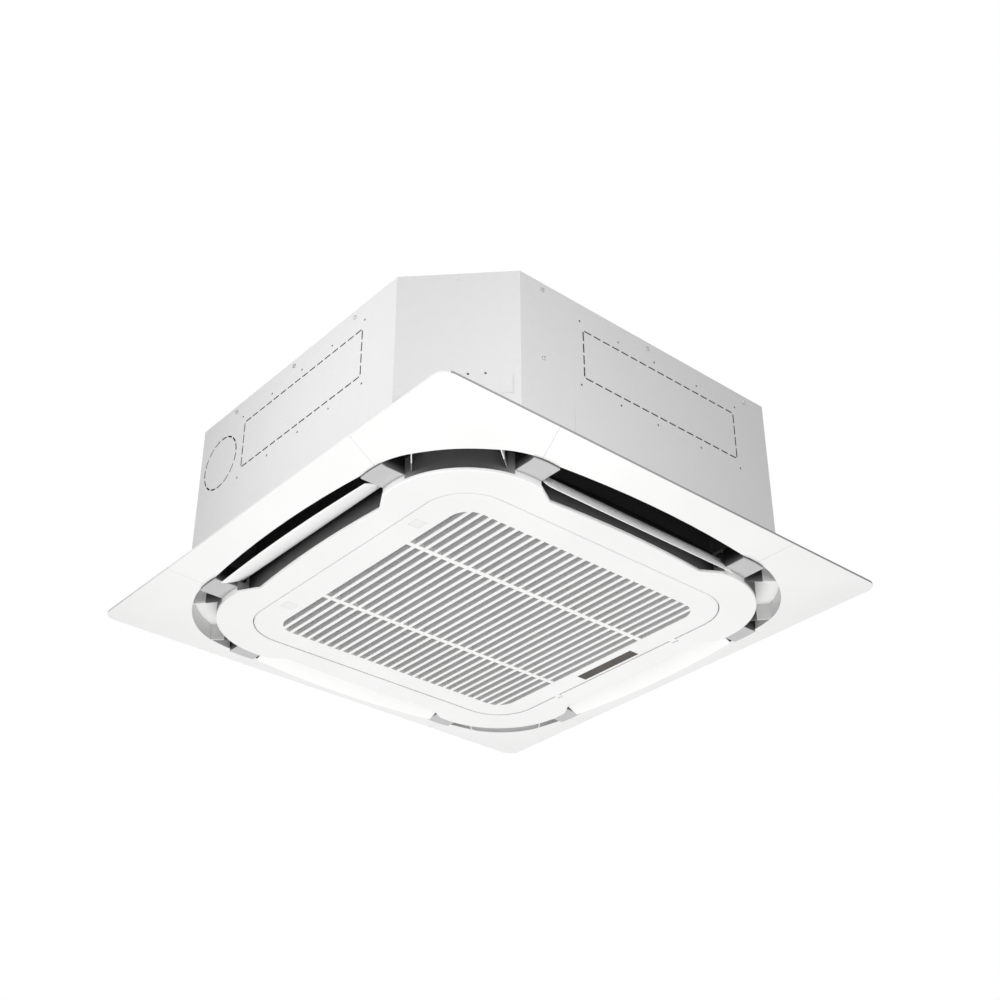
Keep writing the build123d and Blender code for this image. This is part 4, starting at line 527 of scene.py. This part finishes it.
def smoked_window(name, tone):
    """Smoked window: glossy, with faint moulding flow and dust."""
    finish = Finish(name, tone, 0.16)
    finish.set(**{"Coat Weight": 0.5, "Coat Roughness": 0.08})
    finish.tones(finish.clouds(0.03, 3.0), (0.3, dimmed(tone, 0.8)), (0.8, dimmed(tone, 1.5)))
    finish.gloss(finish.clouds(0.004, 3.0), 0.12, 0.26)
    finish.relief(finish.clouds(0.01, 1.0), 0.00002)
    return finish


def circuit_board(name, tone):
    """Circuit board: green mask with tracks and bright pads."""
    finish = Finish(name, tone, 0.3)
    pads = finish.cells(0.0032, "Distance")
    finish.tones(
        pads,
        (0.12, (0.75, 0.72, 0.62)),
        (0.17, dimmed(tone, 0.6)),
        (0.5, tone),
        (0.75, dimmed(tone, 1.5)),
    )
    finish.gloss(finish.cells(0.006), 0.2, 0.45)
    finish.relief(pads, 0.0001)
    return finish


def filter_weave(name, tone):
    """Filter net: strands both ways, with painted shade in the gaps between them and a painted highlight
    along each strand.
    """
    sizes = bpy.context.scene.cassette_textures
    finish = Finish(name, tone, 0.6)
    warp = finish.lines(sizes.net_pitch, "X")
    weft = finish.lines(sizes.net_pitch, "Y")
    strands = finish.maths("MAXIMUM", warp, weft)
    finish.tones(strands, (0.35, dimmed(tone, 0.45)), (0.7, tone), (1.0, dimmed(tone, 1.15)))
    finish.gloss(finish.clouds(0.03), 0.5, 0.7)
    finish.relief(strands, 0.0003)
    return finish


def room_floor(name, tone):
    """Pale matt floor with a faint mottle."""
    finish = Finish(name, tone, 0.8)
    finish.tones(finish.clouds(0.6, 3.0), (0.3, dimmed(tone, 0.985)), (0.7, tone))
    finish.relief(finish.clouds(0.01, 2.0), 0.0002)
    return finish


def dress(finish, *names):
    """Gives CAD nodes a finish."""
    for name in names:
        node = nodes[name]
        for slot in node.material_slots:
            slot.material = finish.material


sharp_angle = math.radians(35)
weld_distance = 1e-6
first_turn = 23.0
next_turn = 37.0
recess_share = 0.62
recess_taper = (0.45, 0.7, 1.0)
head_taper = 0.93
head_round = 0.45
shank_taper = 0.7


def new_piece(name, mesh_maker, finish, body):
    """A new piece from a bmesh, riding on a body."""
    mesh = bpy.data.meshes.new(name)
    mesh_maker.to_mesh(mesh)
    mesh_maker.free()
    piece = bpy.data.objects.new(name, mesh)
    bpy.context.scene.collection.objects.link(piece)
    mesh.materials.append(finish.material)
    mesh.shade_smooth()
    mesh.set_sharp_from_angle(angle=sharp_angle)
    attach(piece, body)
    return piece


def loose_parts(name):
    """The lowest and highest corners of each separate solid in a CAD node."""
    shape = bmesh.new()
    shape.from_mesh(nodes[name].data)
    bmesh.ops.remove_doubles(shape, verts=shape.verts, dist=weld_distance)
    waiting = set(shape.verts)
    boxes = []
    while waiting:
        reached = [waiting.pop()]
        for vert in reached:
            around = {edge.other_vert(vert) for edge in vert.link_edges} & waiting
            waiting -= around
            reached.extend(around)
        low = Vector(min(v.co[k] for v in reached) for k in range(3))
        high = Vector(max(v.co[k] for v in reached) for k in range(3))
        boxes.append((low, high))
    shape.free()
    return boxes


def cross_recess(sizes):
    """The cutter of a cross recess: two tapered bars, its top at the head's top."""
    cutter = bmesh.new()
    for quarter in range(2):
        bar = bmesh.ops.create_cube(cutter, size=1.0)["verts"]
        reach = 2 * sizes.head * recess_share
        bmesh.ops.scale(cutter, verts=bar, vec=(reach, sizes.recess, 2 * sizes.depth))
        foot = [v for v in bar if v.co.z < 0]
        bmesh.ops.scale(cutter, verts=foot, vec=recess_taper)
        bmesh.ops.rotate(cutter, verts=bar, matrix=Matrix.Rotation(quarter * math.pi / 2, 3, "Z"))
    bmesh.ops.translate(cutter, verts=cutter.verts, vec=(0, 0, sizes.rise))
    return cutter


def pan_head(sizes, shank_length):
    """One pan head screw on the Z axis: its seat at zero, its head above and its shank below."""
    screw = bmesh.new()
    rings = {"cap_ends": True, "segments": sizes.sides}
    head = bmesh.ops.create_cone(
        screw, radius1=sizes.head, radius2=sizes.head * head_taper, depth=sizes.rise, **rings
    )["verts"]
    bmesh.ops.translate(screw, verts=head, vec=(0, 0, sizes.rise / 2))
    rim = [e for e in screw.edges if all(v.co.z > sizes.rise * 0.9 for v in e.verts)]
    bmesh.ops.bevel(
        screw,
        geom=rim,
        offset=sizes.rise * head_round,
        segments=4,
        profile=0.5,
        affect="EDGES",
        material=-1,
    )
    shank = bmesh.ops.create_cone(
        screw, radius1=sizes.shank * shank_taper, radius2=sizes.shank, depth=shank_length, **rings
    )["verts"]
    bmesh.ops.translate(screw, verts=shank, vec=(0, 0, -shank_length / 2))
    return screw


def recessed(screw):
    """The screw with its cross recess cut in."""
    sizes = bpy.context.scene.cassette_screws
    solids = []
    for name, shape in (("screw_blank", screw), ("recess_cutter", cross_recess(sizes))):
        mesh = bpy.data.meshes.new(name)
        shape.to_mesh(mesh)
        shape.free()
        solids.append(bpy.data.objects.new(name, mesh))
        bpy.context.scene.collection.objects.link(solids[-1])
    blank, cutter = solids
    cut = blank.modifiers.new("Recess", "BOOLEAN")
    cut.object = cutter
    cut.operation = "DIFFERENCE"
    cut.use_self = True
    graph = bpy.context.evaluated_depsgraph_get()
    finished = bmesh.new()
    finished.from_mesh(blank.evaluated_get(graph).to_mesh())
    for solid in solids:
        bpy.data.objects.remove(solid)
    return finished


def screws_on(name, finish, body):
    """Pan head screws where a CAD node has its plain ones, each turned a little differently."""
    sizes = bpy.context.scene.cassette_screws
    boxes = loose_parts(name)
    spans = [max(high - low) for low, high in boxes]
    pattern = recessed(pan_head(sizes, spans[0] - sizes.rise))
    template = bpy.data.meshes.new("screw_template")
    pattern.to_mesh(template)
    pattern.free()
    together = bmesh.new()
    for number, (low, high) in enumerate(boxes):
        middle = (low + high) / 2
        span = high - low
        line = max(range(3), key=lambda k: span[k])
        outward = Vector((0, 0, 0))
        outward[line] = math.copysign(1.0, middle[line])
        if line == 2:
            outward.z = -1.0
        seat = middle + outward * (span[line] / 2 - sizes.rise)
        turn = Matrix.Rotation(math.radians(first_turn + next_turn * number), 4, "Z")
        aim = outward.to_track_quat("Z", "Y").to_matrix().to_4x4()
        before = set(together.verts)
        together.from_mesh(template)
        fresh = [v for v in together.verts if v not in before]
        bmesh.ops.transform(together, verts=fresh, matrix=Matrix.Translation(seat) @ aim @ turn)
    bpy.data.meshes.remove(template)
    bmesh.ops.recalc_face_normals(together, faces=together.faces)
    piece = new_piece(name + "_cross", together, finish, body)
    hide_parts(name)
    return piece


SIDES = ("right", "back", "left", "front")


class CASSETTE_OT_panel(bpy.types.Operator):
    """Finish the panel frame and its four corner covers"""

    bl_idname = "cassette.panel"
    bl_label = "Panel"

    def execute(self, context):
        tone = context.scene.cassette_colours.panel
        # The panel gets painted shade inside its outlets and on its rim edge; the covers on their rim edge.
        dress(rim_shade(outlet_shade(moulded_plastic("panel_white", tone))), "panel_frame")
        covers = [name for name in nodes if name.startswith("corner_cover_")]
        dress(rim_shade(moulded_plastic("cover_white", tone)), *covers)
        return {"FINISHED"}


class CASSETTE_OT_grille(bpy.types.Operator):
    """Finish the intake grille and its latch buttons"""

    bl_idname = "cassette.grille"
    bl_label = "Intake grille"

    def execute(self, context):
        tone = context.scene.cassette_colours.panel
        dress(moulded_plastic("grille_white", tone, 0.4), "grille")
        buttons = moulded_plastic("latch_white", dimmed(tone, 0.97), 0.36)
        dress(buttons, "latch_button_back", "latch_button_front")
        springs = spring_wire("latch_wire", context.scene.cassette_colours.spring)
        dress(springs, "latch_spring_back", "latch_spring_front")
        return {"FINISHED"}


class CASSETTE_OT_louvres(bpy.types.Operator):
    """Finish the four louvres, their bushes and motors"""

    bl_idname = "cassette.louvres"
    bl_label = "Louvres"

    def execute(self, context):
        colours = context.scene.cassette_colours
        # The louvres are the panel's white painted a tenth lighter: painted light, for the light they lose
        # inside the slots.
        tone = dimmed(colours.panel, 1.1)
        dress(moulded_plastic("louvre_white", tone, 0.36), *["louvre_" + side for side in SIDES])
        # The front louvre shows its shaded side, so its thin plastic lets light through.
        front = moulded_plastic("louvre_front_white", tone, 0.36)
        front.set(**{"Subsurface Weight": 0.85, "Subsurface Scale": 0.03})
        front.set(**{"Subsurface Radius": (1.0, 1.0, 1.0)})
        dress(front, "louvre_front")
        dress(moulded_plastic("bush_grey", dimmed(colours.guide, 2.5)), "louvre_bushes", "louvre_motors")
        return {"FINISHED"}


class CASSETTE_OT_air_path(bpy.types.Operator):
    """Finish the dark air guide and the soft seal above the panel"""

    bl_idname = "cassette.air_path"
    bl_label = "Air guide and seal"

    def execute(self, context):
        colours = context.scene.cassette_colours
        # The air guide gets painted shade in the slots and painted light in the corners.
        dress(guide_shade(moulded_plastic("guide_grey", colours.guide, 0.6)), "air_guide")
        dress(pored_foam("seal_foam", colours.seal), "foam_seal")
        return {"FINISHED"}


class CASSETTE_OT_filter(bpy.types.Operator):
    """Finish the filter net and its frame"""

    bl_idname = "cassette.filter"
    bl_label = "Filter"

    def execute(self, context):
        tone = context.scene.cassette_colours.net
        dress(filter_weave("filter_weave", tone), "filter_net")
        dress(moulded_plastic("filter_bars", tone), "filter_frame")
        return {"FINISHED"}


class CASSETTE_OT_receiver(bpy.types.Operator):
    """Finish the smoked receiver window and the board behind it"""

    bl_idname = "cassette.receiver"
    bl_label = "Receiver window"

    def execute(self, context):
        colours = context.scene.cassette_colours
        dress(smoked_window("smoked_window", colours.window), "display_window")
        dress(circuit_board("receiver_mask", colours.board), "receiver_board")
        return {"FINISHED"}


class CASSETTE_OT_casing(bpy.types.Operator):
    """Finish the octagonal casing, its top plate and the pipe cover"""

    bl_idname = "cassette.casing"
    bl_label = "Casing"

    def execute(self, context):
        tone = context.scene.cassette_colours.casing
        dress(coated_steel("coated_steel", tone), "casing_wrap_left", "casing_wrap_right", "top_plate")
        dress(coated_steel("cover_steel", dimmed(tone, 0.96)), "pipe_cover")
        return {"FINISHED"}


class CASSETTE_OT_screws(bpy.types.Operator):
    """Make the pan head screws of the casing and the panel"""

    bl_idname = "cassette.screws"
    bl_label = "Screws"

    def execute(self, context):
        finish = galvanised_steel("screw_zinc", context.scene.cassette_colours.zinc)
        screws_on("casing_screws", finish, "root")
        screws_on("panel_screws", finish, "root")
        return {"FINISHED"}


class CASSETTE_OT_brackets(bpy.types.Operator):
    """Finish the hanger brackets and the other zinc plates"""

    bl_idname = "cassette.brackets"
    bl_label = "Brackets"

    def execute(self, context):
        tone = context.scene.cassette_colours.zinc
        dress(galvanised_steel("bracket_zinc", tone), "hanger_brackets", "motor_bracket", "pump_bracket")
        return {"FINISHED"}


class CASSETTE_OT_insulation(bpy.types.Operator):
    """Finish the foam liner and the drain pan"""

    bl_idname = "cassette.insulation"
    bl_label = "Liner and drain pan"

    def execute(self, context):
        tone = context.scene.cassette_colours.bead_foam
        # The liner is painted at three tenths of the pan's tone: painted shade behind the casing's slits.
        dress(bead_foam("liner_foam", dimmed(tone, 0.3)), "insulation_liner")
        dress(bead_foam("pan_foam", tone), "drain_pan")
        return {"FINISHED"}


class CASSETTE_OT_fan(bpy.types.Operator):
    """Finish the fan, its bell mouth and its nut"""

    bl_idname = "cassette.fan"
    bl_label = "Fan"

    def execute(self, context):
        colours = context.scene.cassette_colours
        dress(moulded_plastic("fan_plastic", colours.fan), "turbo_fan")
        dress(moulded_plastic("mouth_plastic", dimmed(colours.fan, 0.9)), "bell_mouth")
        dress(galvanised_steel("nut_zinc", colours.zinc), "fan_nut")
        return {"FINISHED"}


class CASSETTE_OT_motor(bpy.types.Operator):
    """Finish the fan motor, its shaft, dampers and nuts"""

    bl_idname = "cassette.motor"
    bl_label = "Motor"

    def execute(self, context):
        colours = context.scene.cassette_colours
        dress(motor_paint("motor_paint", colours.motor), "motor_case")
        dress(turned_brass("shaft_steel", dimmed(colours.spring, 0.9)), "motor_shaft")
        dress(rubber("damper_rubber", colours.rubber), "motor_dampers")
        dress(galvanised_steel("stud_nut_zinc", colours.zinc), "motor_nuts")
        return {"FINISHED"}


class CASSETTE_OT_coil(bpy.types.Operator):
    """Finish the coil's fins, tubes and end plates"""

    bl_idname = "cassette.coil"
    bl_label = "Coil"

    def execute(self, context):
        colours = context.scene.cassette_colours
        dress(fin_pack("fin_pack", colours.fin), "coil_fins")
        dress(drawn_copper("coil_copper", colours.copper), "coil_tubes")
        dress(galvanised_steel("coil_plate_zinc", colours.zinc), "coil_end_plates")
        return {"FINISHED"}


class CASSETTE_OT_pipes(bpy.types.Operator):
    """Finish the refrigerant pipes and their flare unions"""

    bl_idname = "cassette.pipes"
    bl_label = "Pipes"

    def execute(self, context):
        colours = context.scene.cassette_colours
        dress(drawn_copper("pipe_copper", colours.copper), "gas_pipe", "liquid_pipe")
        dress(turned_brass("union_brass", colours.brass), "gas_union", "liquid_union")
        return {"FINISHED"}


class CASSETTE_OT_drain(bpy.types.Operator):
    """Finish the drain pump, float switch, hose and outlet"""

    bl_idname = "cassette.drain"
    bl_label = "Drain"

    def execute(self, context):
        colours = context.scene.cassette_colours
        pump = moulded_plastic("pump_plastic", dimmed(colours.fan, 1.2))
        dress(pump, "pump_housing", "pump_motor", "pump_impeller")
        dress(moulded_plastic("float_plastic", dimmed(colours.fan, 1.35), 0.35), "float_ring", "float_stem")
        dress(ribbed_hose("hose_plastic", colours.hose), "drain_hose")
        dress(moulded_plastic("outlet_plastic", dimmed(colours.hose, 0.8)), "drain_outlet")
        return {"FINISHED"}


class CASSETTE_OT_controls(bpy.types.Operator):
    """Finish the control box, its board, terminals and cable grommet"""

    bl_idname = "cassette.controls"
    bl_label = "Controls"

    def execute(self, context):
        colours = context.scene.cassette_colours
        dress(galvanised_steel("box_zinc", colours.zinc), "control_box", "control_cover")
        dress(circuit_board("control_mask", colours.board), "control_board")
        dress(moulded_plastic("terminal_plastic", dimmed(colours.panel, 0.75)), "terminal_block")
        dress(rubber("grommet_rubber", colours.rubber), "cable_grommet")
        return {"FINISHED"}


def area_lamp(name, place, aim, side, power, spread=180.0):
    """A square soft lamp that looks at a point, with its beam's spread in degrees."""
    lamp = bpy.data.lights.new(name, "AREA")
    lamp.spread = math.radians(spread)
    lamp.size = side
    lamp.energy = power
    holder = bpy.data.objects.new(name, lamp)
    holder.location = place
    holder.rotation_euler = (Vector(aim) - Vector(place)).to_track_quat("-Z", "Y").to_euler()
    bpy.context.scene.collection.objects.link(holder)


def studio_world(strength):
    """Soft light from all round, seen as plain white by the camera, gloss and glass."""
    world = bpy.data.worlds.new("studio_world")
    world.use_nodes = True
    bpy.context.scene.world = world
    tree = world.node_tree
    light = next(n for n in tree.nodes if n.type == "BACKGROUND")
    light.inputs["Color"].default_value = (1.0, 1.0, 1.0, 1.0)
    light.inputs["Strength"].default_value = strength
    backdrop = tree.nodes.new("ShaderNodeBackground")
    backdrop.inputs["Color"].default_value = (1.0, 1.0, 1.0, 1.0)
    path = tree.nodes.new("ShaderNodeLightPath")
    seen = path.outputs["Is Camera Ray"]
    for ray in ("Is Glossy Ray", "Is Transmission Ray"):
        either = tree.nodes.new("ShaderNodeMath")
        either.operation = "MAXIMUM"
        tree.links.new(seen, either.inputs[0])
        tree.links.new(path.outputs[ray], either.inputs[1])
        seen = either.outputs["Value"]
    choice = tree.nodes.new("ShaderNodeMixShader")
    tree.links.new(seen, choice.inputs["Fac"])
    tree.links.new(light.outputs["Background"], choice.inputs[1])
    tree.links.new(backdrop.outputs["Background"], choice.inputs[2])
    output = next(n for n in tree.nodes if n.type == "OUTPUT_WORLD")
    tree.links.new(choice.outputs["Shader"], output.inputs["Surface"])


class CASSETTE_OT_studio(bpy.types.Operator):
    """Make the floor, the lamps and the camera"""

    bl_idname = "cassette.studio"
    bl_label = "Studio"

    def execute(self, context):
        settings = context.scene.cassette_studio
        plane = bmesh.new()
        bmesh.ops.create_grid(plane, x_segments=1, y_segments=1, size=settings.floor_side / 2)
        bmesh.ops.translate(plane, verts=plane.verts, vec=(0, 0, cad_low.z - settings.floor_drop))
        mesh = bpy.data.meshes.new("room_floor")
        plane.to_mesh(mesh)
        plane.free()
        mesh.materials.append(room_floor("floor_paint", settings.floor).material)
        floor = bpy.data.objects.new("room_floor", mesh)
        context.scene.collection.objects.link(floor)

        studio_world(settings.world)
        middle = (cad_low + cad_high) / 2
        area_lamp("key_lamp", (-1.8, 0.2, 0.0), (-0.42, -0.36, 0.14), 0.8, settings.key, 70.0)
        area_lamp("side_lamp", (-0.45, -1.2, -0.12), (-0.25, -0.42, 0.05), 0.5, settings.side)
        area_lamp("fill_lamp", (0.1, 0.1, -2.2), middle, 1.8, settings.fill)
        area_lamp("back_lamp", (1.5, 1.8, 1.9), middle, 1.6, settings.back)

        camera = bpy.data.cameras.new("photo_camera")
        camera.lens = camera_lens
        camera.sensor_width = camera_sensor
        stand = bpy.data.objects.new("photo_camera", camera)
        stand.location = camera_place
        stand.rotation_euler = [math.radians(angle) for angle in camera_turn]
        context.scene.collection.objects.link(stand)
        context.scene.camera = stand
        context.scene.view_settings.view_transform = "Standard"
        return {"FINISHED"}


BUILDERS = (
    CASSETTE_OT_panel,
    CASSETTE_OT_grille,
    CASSETTE_OT_louvres,
    CASSETTE_OT_air_path,
    CASSETTE_OT_filter,
    CASSETTE_OT_receiver,
    CASSETTE_OT_casing,
    CASSETTE_OT_screws,
    CASSETTE_OT_brackets,
    CASSETTE_OT_insulation,
    CASSETTE_OT_fan,
    CASSETTE_OT_motor,
    CASSETTE_OT_coil,
    CASSETTE_OT_pipes,
    CASSETTE_OT_drain,
    CASSETTE_OT_controls,
    CASSETTE_OT_studio,
)


class CASSETTE_PT_sidebar(bpy.types.Panel):
    """The cassette's colours, sizes and builders"""

    bl_idname = "CASSETTE_PT_sidebar"
    bl_label = "Ceiling Cassette"
    bl_space_type = "VIEW_3D"
    bl_region_type = "UI"
    bl_category = "Cassette"

    def draw(self, context):
        column = self.layout.column()
        for builder in BUILDERS:
            column.operator(builder.bl_idname)
        for group in SETTINGS:
            settings = getattr(context.scene, group)
            for name in settings.bl_rna.properties.keys():
                if name not in ("rna_type", "name"):
                    column.prop(settings, name)


SETTINGS = {
    "cassette_colours": CassetteColours,
    "cassette_textures": CassetteTextures,
    "cassette_screws": CassetteScrews,
    "cassette_studio": CassetteStudio,
}


def register():
    for name, group in SETTINGS.items():
        bpy.utils.register_class(group)
        setattr(bpy.types.Scene, name, PointerProperty(type=group))
    for builder in BUILDERS:
        bpy.utils.register_class(builder)
    bpy.utils.register_class(CASSETTE_PT_sidebar)


def unregister():
    bpy.utils.unregister_class(CASSETTE_PT_sidebar)
    for builder in reversed(BUILDERS):
        bpy.utils.unregister_class(builder)
    for name, group in reversed(SETTINGS.items()):
        delattr(bpy.types.Scene, name)
        bpy.utils.unregister_class(group)


def main():
    register()
    for builder in BUILDERS:
        family, step = builder.bl_idname.split(".")
        getattr(getattr(bpy.ops, family), step)()


if __name__ == "__main__":
    main()
